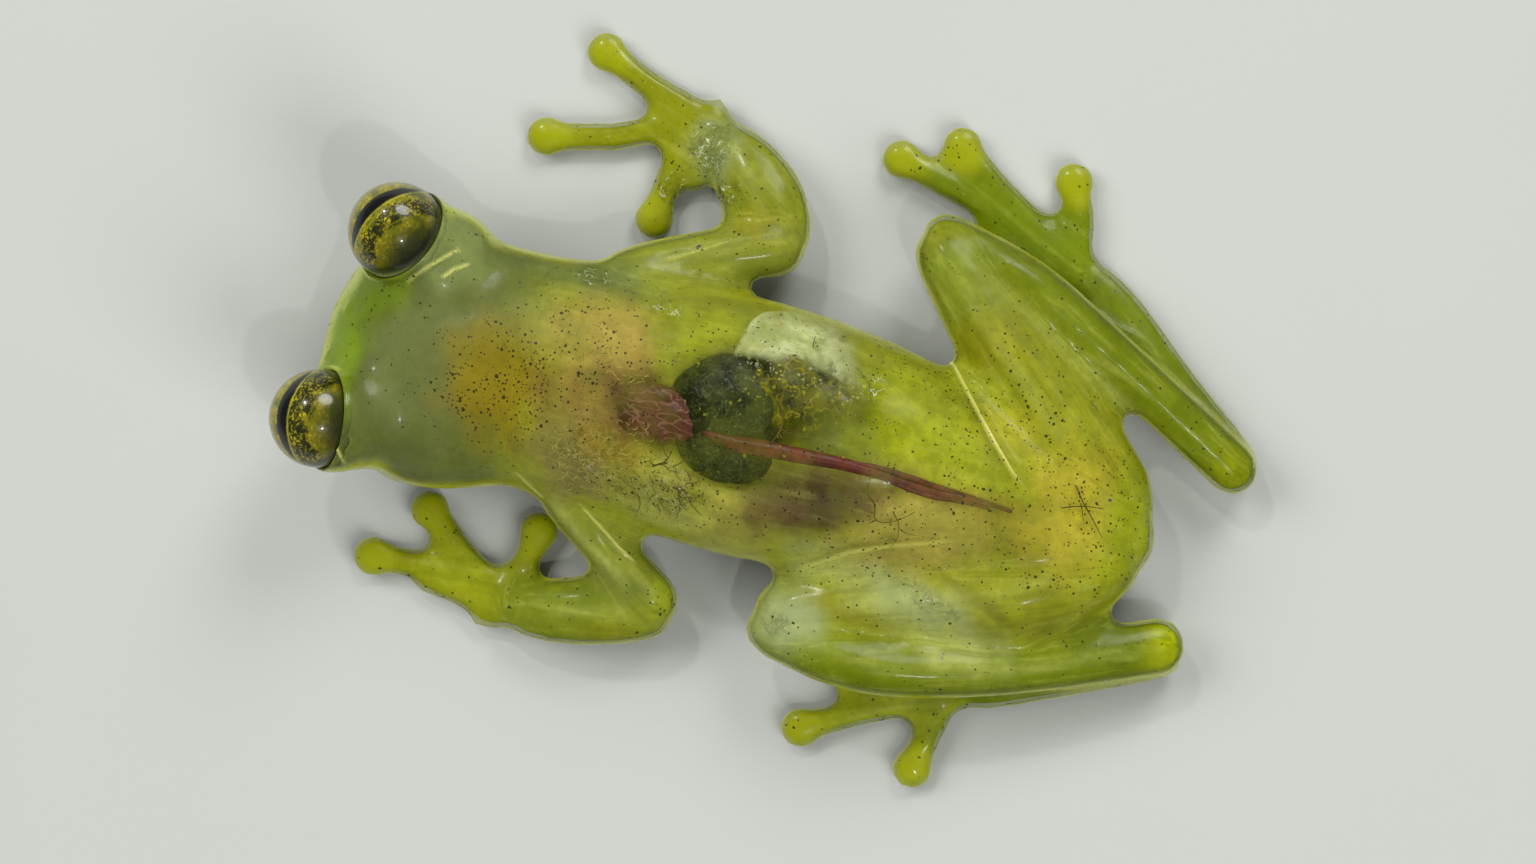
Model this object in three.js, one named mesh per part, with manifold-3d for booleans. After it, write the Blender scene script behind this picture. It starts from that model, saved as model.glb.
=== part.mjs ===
// Glass frog, life size, crouched flat on a level surface.
// Millimetres. +Z is up, the head faces -Y and the frog's left is +X.
// The origin lies on the surface, below the middle of the whole animal.

import * as THREE from 'three';
import Module from 'manifold-3d';

const wasm = await Module();
wasm.setup();

// Driving dimensions
const GAP = 0.3; // clear space between neighbouring pieces
const MIDDLE = [-0.025, -0.04]; // where the middle of the animal lies in the layout below
const NECK = -8.45; // where the head meets the torso
const FLOOR_REACH = 40;

const EYE_RADIUS = 1.62;
const EYE_TOE_OUT = 18; // degrees that each eye looks out from the heading
const HEAD_TURN = 10; // degrees that the head turns to the frog's right
const LID_WALL = 0.34;
const LID_LEAN = 12; // degrees that the opening of the lids looks lower than the eye
const LID_SET_BACK = 0.2; // how far the rim of the lids lies behind the middle of the eye

const MOUTH_HEIGHT = 1.75; // at the tip of the snout
const MOUTH_SLOPE = 3.5; // degrees down towards the corner of the mouth
const MOUTH_CORNER = -11.3; // how far back the mouth runs
const MOUTH_DEPTH = 0.24;
const MOUTH_GAPE = 0.2;
const MOUTH_CUT = [14, 10]; // width and length of the cut, which runs out past the snout
const LIP_SWELL = 0.13;
const LIP_WIDTH = 0.95;

const NOSTRILS_MIDDLE = [0.75, -14.6, 3.12];
const NOSTRIL_SPREAD = 0.85; // from the middle to each nostril
const NOSTRIL_RIM = [0.4, 0.4, 0.3];
const NOSTRIL_PIT = [0.2, 0.2, 0.3];
const NOSTRIL_PIT_SHIFT = [0, -0.12, 0.2]; // forwards and up from the rim's middle

const DIGIT_WIDE = 0.52; // half the width of a finger or toe
const DIGIT_HIGH = 0.42; // half its height
const DIGIT_ROOT_SPREAD = 0.12; // how much wider it is where it leaves the hand or foot
const DIGIT_TIP_DROP = 0.04; // how much lower its middle is at the disc
const DIGIT_TIP_SLIM = 0.06; // how much flatter it is there
const DISC_RADIUS = 0.74;
const INNER_DISC_RADIUS = 0.55; // of the small inner digits
const DISC_THICK = 0.8;
const DISC_FLAT = 0.03; // how deep a disc is pressed flat on the floor
const WEB_THICK = 0.5;
const WEB_DIP = 0.28; // how far the edge of a web curves in, as a share of its reach

// How finely the shapes are faceted
const HEAD_FACETS = { sides: 28, step: 0.7 };
const TORSO_FACETS = { sides: 28, step: 0.75 };
const LIMB_FACETS = { sides: 12, perStop: 3 };
const PALM_FACETS = { sides: 12, perStop: 2 };
const DIGIT_FACETS = { sides: 8, perStop: 1 };
const EYE_FACETS = [18, 10];
const SWELLING_FACETS = [16, 9];
const NOSTRIL_FACETS = [10, 6];
const DISC_FACETS = [12, 5];
const ROUNDING = [72, 38]; // degrees of the rings that round a limb's end
const HEADING_STEP = 0.05; // share of a stop over which a limb's direction is measured

// Cross-sections of the head and torso, from the snout to the rump:
// place along Y, middle along X, half width, top, widest level and underside.
const TRUNK = [
  { y: -15.3, x: 0.95, wide: 0.4, top: 2.3, side: 2.0, low: 1.7 },
  { y: -15.2, x: 0.9, wide: 1.1, top: 2.7, side: 2.0, low: 1.35 },
  { y: -14.9, x: 0.76, wide: 1.92, top: 3.2, side: 2.0, low: 1.05 },
  { y: -14.4, x: 0.64, wide: 2.85, top: 3.7, side: 2.0, low: 0.82 },
  { y: -13.6, x: 0.7, wide: 3.6, top: 4.3, side: 2.05, low: 0.62 },
  { y: -12.4, x: 0.86, wide: 4.15, top: 4.8, side: 2.1, low: 0.45 },
  { y: -11.0, x: 0.88, wide: 4.32, top: 5.1, side: 2.2, low: 0.35 },
  { y: -9.6, x: 0.7, wide: 4.16, top: 5.2, side: 2.35, low: 0.22 },
  { y: NECK, x: 0.5, wide: 4.02, top: 5.32, side: 2.45, low: 0.12 },
  { y: -7.0, x: 0.43, wide: 4.02, top: 5.45, side: 2.5, low: 0.02 },
  { y: -5.0, x: 0.55, wide: 4.05, top: 5.75, side: 2.5, low: -0.08 },
  { y: -2.6, x: 0.62, wide: 4.3, top: 6.0, side: 2.5, low: -0.2 },
  { y: 0.0, x: 0.66, wide: 4.35, top: 6.05, side: 2.5, low: -0.25 },
  { y: 2.4, x: 0.62, wide: 4.05, top: 5.95, side: 2.5, low: -0.22 },
  { y: 4.6, x: 0.62, wide: 3.6, top: 5.65, side: 2.45, low: -0.12 },
  { y: 6.6, x: 0.78, wide: 2.95, top: 5.2, side: 2.4, low: 0.0 },
  { y: 8.6, x: 0.98, wide: 2.4, top: 4.65, side: 2.3, low: 0.15 },
  { y: 10.4, x: 1.15, wide: 2.05, top: 4.0, side: 2.2, low: 0.35 },
  { y: 11.9, x: 1.28, wide: 1.6, top: 3.35, side: 2.05, low: 0.65 },
  { y: 12.9, x: 1.35, wide: 1.0, top: 2.7, side: 1.95, low: 1.05 },
  { y: 13.3, x: 1.38, wide: 0.45, top: 2.2, side: 1.9, low: 1.5 },
];

// Each limb is a chain of stops: place, half width and half height.
const stop = (x, y, z, wide, high = wide) => ({ at: [x, y, z], wide, high });

const LIMBS = {
  upper_arm_left: [
    stop(3.0, -7.3, 2.75, 1.1, 1.1), stop(4.3, -6.2, 2.35, 0.95, 0.95),
    stop(5.6, -4.55, 1.95, 0.86, 0.86), stop(7.0, -2.65, 1.5, 0.95, 0.95),
  ],
  forearm_left: [
    stop(7.35, -2.7, 1.3, 1.08, 0.98), stop(7.72, -4.0, 1.22, 1.2, 1.0),
    stop(8.1, -5.6, 1.08, 1.18, 0.88), stop(8.35, -6.9, 0.9, 0.92, 0.66),
  ],
  upper_arm_right: [
    stop(-1.9, -7.1, 2.75, 1.1, 1.1), stop(-3.3, -6.0, 2.4, 0.98, 0.98),
    stop(-4.4, -4.1, 2.0, 0.9, 0.88), stop(-5.45, -1.35, 1.55, 1.05, 1.0),
  ],
  forearm_right: [
    stop(-5.75, -1.3, 1.35, 1.2, 1.0), stop(-6.75, -2.05, 1.25, 1.5, 1.02),
    stop(-7.75, -2.9, 1.08, 1.32, 0.86), stop(-8.5, -3.72, 0.88, 0.95, 0.64),
  ],
  thigh_left: [
    stop(2.2, 11.2, 2.05, 1.9, 1.75), stop(3.9, 9.0, 2.15, 1.85, 1.85),
    stop(4.75, 5.6, 2.25, 1.42, 1.55), stop(6.3, 1.8, 2.25, 1.15, 1.2),
  ],
  shank_left: [
    stop(6.9, 1.6, 2.2, 1.1, 1.1), stop(7.45, 4.7, 2.45, 1.0, 1.15),
    stop(6.5, 9.2, 2.15, 0.95, 0.95), stop(4.5, 14.35, 1.3, 1.0, 0.8),
  ],
  tarsus_left: [
    stop(4.75, 14.5, 0.85, 0.92, 0.72), stop(5.95, 12.2, 0.7, 0.76, 0.6),
    stop(6.95, 9.9, 0.6, 0.76, 0.55), stop(7.35, 8.8, 0.55, 0.8, 0.5),
  ],
  thigh_right: [
    stop(0.3, 11.2, 2.05, 1.9, 1.75), stop(-2.2, 8.75, 2.15, 1.85, 1.85),
    stop(-4.75, 6.0, 2.25, 1.45, 1.55), stop(-6.45, 4.2, 2.25, 1.12, 1.2),
  ],
  shank_right: [
    stop(-6.95, 4.1, 2.2, 1.0, 1.05), stop(-6.1, 7.1, 2.45, 1.02, 1.15),
    stop(-4.5, 10.4, 2.15, 0.9, 0.95), stop(-1.75, 15.35, 1.3, 0.9, 0.8),
  ],
  tarsus_right: [
    stop(-1.9, 15.45, 0.85, 0.9, 0.72), stop(-4.0, 13.0, 0.72, 0.74, 0.6),
    stop(-6.0, 10.6, 0.6, 0.8, 0.55), stop(-6.7, 9.4, 0.55, 0.85, 0.5),
  ],
};

// Fingers and toes: where each leaves the hand or foot, a bend, and its disc.
// A web joins each pair of digits out to the share of their length that it names.
const digit = (base, bend, tip, disc = DISC_RADIUS) => ({ base, bend, tip, disc });

const PAWS = {
  hand_left: {
    palm: [stop(8.35, -6.7, 0.62, 0.85, 0.5), stop(8.2, -8.2, 0.42, 1.15, 0.44)],
    digits: [
      digit([8.05, -7.5], [6.75, -7.1], [5.7, -6.95]),
      digit([7.8, -8.4], [6.8, -9.55], [5.85, -10.7]),
      digit([8.1, -8.9], [7.75, -10.6], [7.82, -12.2]),
      digit([8.35, -8.35], [8.25, -9.35], [8.12, -10.2], INNER_DISC_RADIUS),
    ],
    web: 0.3,
  },
  hand_right: {
    palm: [stop(-8.3, -3.7, 0.62, 0.85, 0.5), stop(-8.9, -4.9, 0.42, 1.25, 0.44)],
    digits: [
      digit([-8.5, -4.9], [-7.85, -4.8], [-7.2, -4.6], INNER_DISC_RADIUS),
      digit([-8.5, -5.2], [-6.85, -5.45], [-5.48, -5.62]),
      digit([-8.8, -5.5], [-7.85, -7.6], [-7.35, -9.82]),
      digit([-9.3, -5.4], [-9.85, -6.9], [-10.6, -8.5]),
    ],
    web: 0.3,
  },
  foot_left: {
    palm: [stop(7.4, 8.6, 0.5, 0.8, 0.44), stop(7.9, 6.7, 0.42, 0.95, 0.42)],
    digits: [
      digit([7.4, 7.6], [6.9, 6.9], [6.45, 6.2], INNER_DISC_RADIUS),
      digit([7.6, 7.1], [7.0, 6.0], [6.75, 4.9], INNER_DISC_RADIUS),
      digit([7.9, 6.7], [7.8, 5.4], [7.8, 4.1]),
      digit([8.2, 6.7], [9.15, 4.9], [10.1, 3.2]),
      digit([8.2, 7.6], [9.3, 7.45], [10.55, 7.2]),
    ],
    web: 0.45,
  },
  foot_right: {
    palm: [stop(-6.8, 9.2, 0.5, 0.85, 0.44), stop(-7.7, 7.3, 0.42, 1.05, 0.42)],
    digits: [
      digit([-7.0, 8.2], [-6.5, 7.4], [-6.1, 6.5], INNER_DISC_RADIUS),
      digit([-7.3, 7.6], [-7.1, 6.4], [-7.2, 5.3], INNER_DISC_RADIUS),
      digit([-7.8, 7.0], [-8.7, 4.5], [-9.4, 2.05]),
      digit([-8.0, 7.1], [-9.2, 5.4], [-10.3, 3.95]),
      digit([-7.7, 8.5], [-8.9, 8.4], [-10.0, 7.9]),
    ],
    web: 0.55,
  },
};

const SKIN = { color: 0xa9b04a, roughness: 0.35, metalness: 0 };
const PALE_SKIN = { color: 0x97a27c, roughness: 0.35, metalness: 0 };
const DISC_SKIN = { color: 0xc4a83a, roughness: 0.35, metalness: 0 };
const IRIS = { color: 0x8b8a2e, roughness: 0.1, metalness: 0 };

const rad = THREE.MathUtils.degToRad;
const frog = new THREE.Group();

// A solid from points and triangles, turned outwards if they face inwards.
function solidFrom(points, faces) {
  const build = (order) => new wasm.Manifold(new wasm.Mesh({
    numProp: 3,
    vertProperties: new Float32Array(points),
    triVerts: new Uint32Array(order),
  }));
  const solid = build(faces);
  return solid.volume() > 0 ? solid : build(faces.slice().reverse());
}

// Closes a run of rings, each with the same number of points, into one solid.
function closedRings(rings) {
  const sides = rings[0].length;
  const points = rings.flat();
  const middle = (ring) => ring.reduce((sum, p) => sum.add(p), new THREE.Vector3()).divideScalar(sides);
  const first = points.length;
  const last = first + 1;
  points.push(middle(rings[0]), middle(rings[rings.length - 1]));
  const faces = [];
  for (let i = 0; i < rings.length - 1; i += 1) {
    for (let j = 0; j < sides; j += 1) {
      const a = i * sides + j;
      const b = i * sides + ((j + 1) % sides);
      faces.push(a, b, a + sides, b, b + sides, a + sides);
    }
  }
  const end = (rings.length - 1) * sides;
  for (let j = 0; j < sides; j += 1) {
    faces.push(first, (j + 1) % sides, j);
    faces.push(last, end + j, end + ((j + 1) % sides));
  }
  return solidFrom(points.flatMap((p) => p.toArray()), faces);
}

// Value of a smooth curve through evenly numbered samples.
function smooth(values, t) {
  const i = Math.min(Math.floor(t), values.length - 2);
  const f = t - i;
  const at = (k) => values[THREE.MathUtils.clamp(k, 0, values.length - 1)];
  const [p, a, b, n] = [at(i - 1), at(i), at(i + 1), at(i + 2)];
  const slopeA = (b - p) / 2;
  const slopeB = (n - a) / 2;
  const f2 = f * f;
  const f3 = f2 * f;
  return (2 * f3 - 3 * f2 + 1) * a + (f3 - 2 * f2 + f) * slopeA
    + (3 * f2 - 2 * f3) * b + (f3 - f2) * slopeB;
}

// A limb: an oval section led through its stops, with a round end at each side.
function limb(stops, { sides, perStop } = LIMB_FACETS, grow = 0) {
  const column = (pick) => stops.map(pick);
  const place = (t) => new THREE.Vector3(...[0, 1, 2].map((k) => smooth(column((s) => s.at[k]), t)));
  const wide = column((s) => s.wide);
  const high = column((s) => s.high);
  const span = stops.length - 1;
  const ring = (centre, along, halfWide, halfHigh) => {
    const across = new THREE.Vector3(-along.y, along.x, 0).normalize();
    const up = new THREE.Vector3().crossVectors(along, across).normalize();
    return Array.from({ length: sides }, (_, j) => {
      const turn = (2 * Math.PI * (j + 0.5)) / sides;
      return centre.clone()
        .addScaledVector(across, halfWide * Math.cos(turn))
        .addScaledVector(up, halfHigh * Math.sin(turn));
    });
  };
  const heading = (t) => {
    const behind = place(Math.max(t - HEADING_STEP, 0));
    return place(Math.min(t + HEADING_STEP, span)).sub(behind).normalize();
  };
  const rounded = (t, side) => ROUNDING.map((degrees) => {
    const reach = (Math.min(smooth(wide, t), smooth(high, t)) + grow) * Math.sin(rad(degrees)) * side;
    const shrink = Math.cos(rad(degrees));
    const along = heading(t);
    return ring(place(t).addScaledVector(along, reach), along,
      (smooth(wide, t) + grow) * shrink, (smooth(high, t) + grow) * shrink);
  });
  const rings = [...rounded(0, -1)];
  for (let i = 0; i <= span * perStop; i += 1) {
    const t = i / perStop;
    rings.push(ring(place(t), heading(t), smooth(wide, t) + grow, smooth(high, t) + grow));
  }
  return closedRings([...rings, ...rounded(span, 1).reverse()]);
}

// A stretch of the trunk between two places along Y, fuller at its widest level.
function trunk(from, to, { sides, step }, grow = 0) {
  const inside = TRUNK.map((s, i) => ({ ...s, i })).filter((s) => s.y >= from && s.y <= to);
  const t0 = inside[0].i;
  const t1 = inside[inside.length - 1].i;
  const value = (name, t) => smooth(TRUNK.map((s) => s[name]), t);
  const count = Math.round((t1 - t0) / step);
  const rings = Array.from({ length: count + 1 }, (_, k) => {
    const t = t0 + ((t1 - t0) * k) / count;
    const [side, x, y] = [value('side', t), value('x', t), value('y', t)];
    const reach = value('wide', t) + grow;
    return Array.from({ length: sides }, (_point, j) => {
      const turn = (2 * Math.PI * (j + 0.5)) / sides;
      const rise = Math.sin(turn) > 0 ? value('top', t) + grow - side : side - value('low', t) + grow;
      return new THREE.Vector3(x + reach * Math.cos(turn), y, side + rise * Math.sin(turn));
    });
  });
  return closedRings(rings);
}

// A solid from a three.js geometry, moved and turned into place.
function solidOf(geometry, matrix = new THREE.Matrix4()) {
  const moved = geometry.clone().applyMatrix4(matrix);
  const { array, count } = moved.attributes.position;
  const seen = new Map();
  const points = [];
  const number = Array.from({ length: count }, (_, i) => {
    const key = [0, 1, 2].map((k) => array[i * 3 + k].toFixed(4)).join();
    if (!seen.has(key)) {
      seen.set(key, points.length / 3);
      points.push(array[i * 3], array[i * 3 + 1], array[i * 3 + 2]);
    }
    return seen.get(key);
  });
  const order = moved.index ? Array.from(moved.index.array) : number.map((_, i) => i);
  const faces = [];
  for (let i = 0; i < order.length; i += 3) {
    const corner = [order[i], order[i + 1], order[i + 2]].map((v) => number[v]);
    if (new Set(corner).size === 3) faces.push(...corner);
  }
  return solidFrom(points, faces);
}

function ball(centre, radii, facets, turn = new THREE.Quaternion()) {
  const matrix = new THREE.Matrix4().compose(new THREE.Vector3(...centre), turn, new THREE.Vector3(...radii));
  return solidOf(new THREE.SphereGeometry(1, ...facets), matrix);
}

function slab(centre, size, turn = new THREE.Quaternion()) {
  const matrix = new THREE.Matrix4().compose(new THREE.Vector3(...centre), turn, new THREE.Vector3(1, 1, 1));
  return solidOf(new THREE.BoxGeometry(...size), matrix);
}

const FLOOR = slab([0, 0, -FLOOR_REACH / 2], [2 * FLOOR_REACH, 2 * FLOOR_REACH, FLOOR_REACH]);

// The largest closed piece of a solid.
function largest(solid) {
  return solid.decompose().reduce((best, piece) => (piece.volume() > best.volume() ? piece : best));
}

function addPart(name, solid, finish) {
  const { vertProperties, triVerts } = largest(solid.subtract(FLOOR)).getMesh();
  const geometry = new THREE.BufferGeometry();
  geometry.setAttribute('position', new THREE.BufferAttribute(new Float32Array(vertProperties), 3));
  geometry.setIndex(new THREE.BufferAttribute(new Uint32Array(triVerts), 1));
  geometry.computeVertexNormals();
  const mesh = new THREE.Mesh(geometry, new THREE.MeshStandardMaterial(finish));
  mesh.name = name;
  mesh.position.set(-MIDDLE[0], -MIDDLE[1], 0);
  frog.add(mesh);
}

// Eyes: side is +1 on the frog's left and -1 on its right, raise is how far up each looks,
// in degrees. The head is tipped a little, so the right eye is higher and looks up more.
const EYES = {
  left: { side: 1, centre: [3.65, -14.7, 4.15], raise: 38 },
  right: { side: -1, centre: [-2.95, -13.6, 4.35], raise: 54 },
};

// Swellings behind each eye, from its middle: outwards, backwards and up.
const BROW = { shift: [-0.6, 1.0, -0.9], radii: [2.05, 2.5, 1.8] };
const CHEEK = { shift: [-0.45, 1.2, -1.45], radii: [1.85, 2.4, 1.15] };

const UP = new THREE.Vector3(0, 0, 1);
const POLE = new THREE.Vector3(0, 1, 0); // the axis of a three.js sphere
const turnTo = (direction) => new THREE.Quaternion().setFromUnitVectors(POLE, direction);

function gazeOf({ side, raise }, lean = 0) {
  const out = rad(side * EYE_TOE_OUT - HEAD_TURN);
  const level = Math.cos(rad(raise - lean));
  return new THREE.Vector3(level * Math.sin(out), -level * Math.cos(out), Math.sin(rad(raise - lean)));
}

function eyeball(eye, grow = 0) {
  const radius = EYE_RADIUS + grow;
  return ball(eye.centre, [radius, radius, radius], EYE_FACETS, turnTo(gazeOf(eye)));
}

// The lids: a cup of skin behind the eyeball, open along the gaze,
// carried into the head on the swellings of the brow and the cheek.
function lids(eye) {
  const radius = EYE_RADIUS + GAP + LID_WALL;
  const opening = gazeOf(eye, LID_LEAN);
  const turn = turnTo(opening);
  const [x, y, z] = eye.centre;
  const swelling = ({ shift, radii }) => {
    const place = [x + eye.side * shift[0], y + shift[1], z + shift[2]];
    return ball(place, radii, SWELLING_FACETS);
  };
  const cup = ball(eye.centre, [radius, radius, radius], EYE_FACETS, turn);
  const reach = 4 * EYE_RADIUS;
  const front = new THREE.Vector3(x, y, z).addScaledVector(opening, reach / 2 - LID_SET_BACK);
  const open = slab(front.toArray(), [reach, reach, reach], turn);
  return cup.add(swelling(BROW)).subtract(open).add(swelling(CHEEK));
}

function mouthSlab(thick) {
  const turn = new THREE.Quaternion().setFromAxisAngle(new THREE.Vector3(1, 0, 0), rad(-MOUTH_SLOPE));
  const [width, length] = MOUTH_CUT;
  const back = MOUTH_CORNER - length / 2;
  const drop = Math.tan(rad(MOUTH_SLOPE)) * (back - TRUNK[0].y);
  return slab([TRUNK[0].x, back, MOUTH_HEIGHT - drop], [width, length, thick], turn);
}

function nostrils(build) {
  const heading = rad(-HEAD_TURN);
  const [x, y, z] = NOSTRILS_MIDDLE;
  return [-NOSTRIL_SPREAD, NOSTRIL_SPREAD].map((out) => (
    build([x + out * Math.cos(heading), y + out * Math.sin(heading), z])
  ));
}

const skull = trunk(TRUNK[0].y, NECK, HEAD_FACETS);
const lipBand = trunk(TRUNK[0].y, NECK, HEAD_FACETS, LIP_SWELL).intersect(mouthSlab(LIP_WIDTH));
const mouthLine = mouthSlab(MOUTH_GAPE).subtract(trunk(TRUNK[0].y, NECK, HEAD_FACETS, -MOUTH_DEPTH));
let head = skull.add(lipBand);
Object.values(EYES).forEach((eye) => {
  head = head.add(lids(eye));
});
nostrils((at) => ball(at, NOSTRIL_RIM, NOSTRIL_FACETS)).forEach((rim) => {
  head = head.add(rim);
});
head = head.subtract(mouthLine);
nostrils((at) => ball(at.map((v, k) => v + NOSTRIL_PIT_SHIFT[k]), NOSTRIL_PIT, NOSTRIL_FACETS))
  .forEach((pit) => {
    head = head.subtract(pit);
  });
Object.values(EYES).forEach((eye) => {
  head = head.subtract(eyeball(eye, GAP));
});
head = head.subtract(slab([0, NECK + FLOOR_REACH / 2 - GAP, 0], [FLOOR_REACH, FLOOR_REACH, FLOOR_REACH]));

const RUMP = TRUNK[TRUNK.length - 1].y;
const torso = trunk(NECK, RUMP, TORSO_FACETS);
const torsoClear = trunk(NECK, RUMP, TORSO_FACETS, GAP);

addPart('torso', torso, SKIN);
addPart('head', head, PALE_SKIN);
Object.entries(EYES).forEach(([side, eye]) => addPart(`eye_${side}`, eyeball(eye), IRIS));

// A finger or toe with its round flat disc.
function digitSolid({ base, bend, tip, disc }) {
  const stem = limb([
    stop(...base, DIGIT_HIGH, DIGIT_WIDE + DIGIT_ROOT_SPREAD, DIGIT_HIGH),
    stop(...bend, DIGIT_HIGH, DIGIT_WIDE, DIGIT_HIGH),
    stop(...tip, DIGIT_HIGH - DIGIT_TIP_DROP, DIGIT_WIDE, DIGIT_HIGH - DIGIT_TIP_SLIM),
  ], DIGIT_FACETS);
  const middle = DISC_THICK / 2 - DISC_FLAT;
  return stem.add(ball([...tip, middle], [disc, DISC_THICK / 2, disc], DISC_FACETS, turnTo(UP)));
}

// The web between two neighbouring digits.
function web(one, next, share) {
  const between = (from, to, f) => [0, 1].map((k) => from[k] + (to[k] - from[k]) * f);
  const along = ({ base, bend, tip }) => {
    const t = share * 2;
    return t < 1 ? between(base, bend, t) : between(bend, tip, t - 1);
  };
  const edge = [along(one), along(next)];
  const dip = between(between(...edge, 0.5), between(one.base, next.base, 0.5), WEB_DIP);
  const outline = [one.base, edge[0], dip, edge[1], next.base];
  const shape = new THREE.Shape(outline.map(([x, y]) => new THREE.Vector2(x, y)));
  return solidOf(new THREE.ExtrudeGeometry(shape, { depth: WEB_THICK, bevelEnabled: false, curveSegments: 1 }));
}

function paw({ palm, digits, web: share }) {
  let solid = limb(palm, PALM_FACETS);
  digits.forEach((one, i) => {
    solid = solid.add(digitSolid(one));
    if (i > 0) solid = solid.add(web(digits[i - 1], one, share));
  });
  return solid;
}

['left', 'right'].forEach((side) => {
  const chain = (names) => names.map((name) => LIMBS[`${name}_${side}`]);
  const [upperArm, forearm] = chain(['upper_arm', 'forearm']);
  const clearOf = (stops) => limb(stops, LIMB_FACETS, GAP);
  const arm = limb(upperArm).subtract(torsoClear);
  const lower = limb(forearm).subtract(clearOf(upperArm)).subtract(torsoClear);
  addPart(`upper_arm_${side}`, arm, SKIN);
  addPart(`forearm_${side}`, lower, SKIN);
  addPart(`hand_${side}`, paw(PAWS[`hand_${side}`]).subtract(clearOf(forearm)), DISC_SKIN);

  const [thigh, shank, tarsus] = chain(['thigh', 'shank', 'tarsus']);
  addPart(`thigh_${side}`, limb(thigh).subtract(torsoClear), SKIN);
  addPart(`shank_${side}`, limb(shank).subtract(clearOf(thigh)), SKIN);
  addPart(`tarsus_${side}`, limb(tarsus).subtract(clearOf(shank)).subtract(clearOf(thigh)), SKIN);
  addPart(`foot_${side}`,
    paw(PAWS[`foot_${side}`]).subtract(clearOf(tarsus)).subtract(clearOf(shank)).subtract(clearOf(thigh)),
    DISC_SKIN);
});

export default frog;
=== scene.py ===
"""A life-size glass frog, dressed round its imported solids.

One clear skin covers the whole body. Under it lie the flesh, the bones and the organs
that show through, each a piece of its own. Sizes are in millimetres, in the layout of
the body, and Layout turns them into metres in the frame of the model.
"""

import logging
import math
import random
from collections.abc import Callable
from dataclasses import dataclass, field
from enum import Enum
from functools import cache

import bpy
import numpy as np
from mathutils import Matrix, Vector
from mathutils.bvhtree import BVHTree

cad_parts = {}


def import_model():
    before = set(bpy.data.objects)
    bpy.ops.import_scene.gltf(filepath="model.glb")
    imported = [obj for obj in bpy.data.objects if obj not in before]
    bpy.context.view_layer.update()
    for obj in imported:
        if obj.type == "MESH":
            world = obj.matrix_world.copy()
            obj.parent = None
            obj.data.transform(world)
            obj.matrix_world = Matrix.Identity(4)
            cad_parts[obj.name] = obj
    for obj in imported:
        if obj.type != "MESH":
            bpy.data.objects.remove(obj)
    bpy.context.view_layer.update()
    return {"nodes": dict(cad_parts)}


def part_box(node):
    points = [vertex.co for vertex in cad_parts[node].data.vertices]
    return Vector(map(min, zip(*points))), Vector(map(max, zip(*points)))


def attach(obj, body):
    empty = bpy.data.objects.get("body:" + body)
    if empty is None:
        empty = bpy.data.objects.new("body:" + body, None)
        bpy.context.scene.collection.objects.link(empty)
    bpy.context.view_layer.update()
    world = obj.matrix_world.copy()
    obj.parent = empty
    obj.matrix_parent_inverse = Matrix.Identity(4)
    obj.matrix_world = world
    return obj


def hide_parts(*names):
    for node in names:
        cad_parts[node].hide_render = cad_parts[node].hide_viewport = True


LOG = logging.getLogger("glass_frog")
MM = 0.001
BODY = "root"
DOUBLES = 1e-6  # metres between points that are merged

Colour = tuple[float, float, float, float]
Spot = tuple[float, float]
Point = tuple[float, float, float]
Path = tuple[Spot, ...]
Run = list[tuple[float, float, float, float]]  # places of the layout with the radius there
Inputs = dict[str | int, object]  # values or other nodes' outputs, by socket
Piece = bpy.types.Object
Socket = bpy.types.NodeSocket


def srgb(red: int, green: int, blue: int) -> Colour:
    """Returns a colour given as screen values from 0 to 255 as linear light."""
    linear = [
        v / 12.92 if v <= 0.04045 else ((v + 0.055) / 1.055) ** 2.4
        for v in (red / 255, green / 255, blue / 255)
    ]
    return (*linear, 1.0)


def ease(value: np.ndarray | float, low: float, high: float) -> np.ndarray:
    """Eases from one value to another.

    Args:
        value: The number or numbers to look at.
        low: Where the result is 0. It may be the larger of the two.
        high: Where the result is 1.

    Returns:
        Numbers from 0 to 1.
    """
    t = np.clip((value - low) / (high - low), 0.0, 1.0)
    return t * t * (3.0 - 2.0 * t)


def bell(value: np.ndarray, width: float) -> np.ndarray:
    """Returns a bell curve that is 1 at 0 and falls away over the width."""
    return np.exp(-((value / width) ** 2))


class Region(Enum):
    """Parts of the body, by how their nodes' names start."""

    HEAD = "head"
    TORSO = "torso"
    UPPER_ARM = "upper_arm"
    FOREARM = "forearm"
    HAND = "hand"
    THIGH = "thigh"
    SHANK = "shank"
    TARSUS = "tarsus"
    FOOT = "foot"

    @classmethod
    def of(cls, node: str) -> "Region":
        """Returns the region that a node belongs to."""
        return next(region for region in cls if node.startswith(region.value))


@dataclass(frozen=True)
class Look:
    """How one region of the body looks.

    Cover is how solid its skin is, evenness how far its facets are rounded, filling how far its
    creases are filled, inset how deep its flesh lies in millimetres, and paw is 1 on hands and feet.
    """

    skin_tint: Colour
    flesh_tint: Colour
    cover: float
    evenness: float
    filling: float
    inset: float
    streaks: float
    paw: float = 0.0


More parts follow.
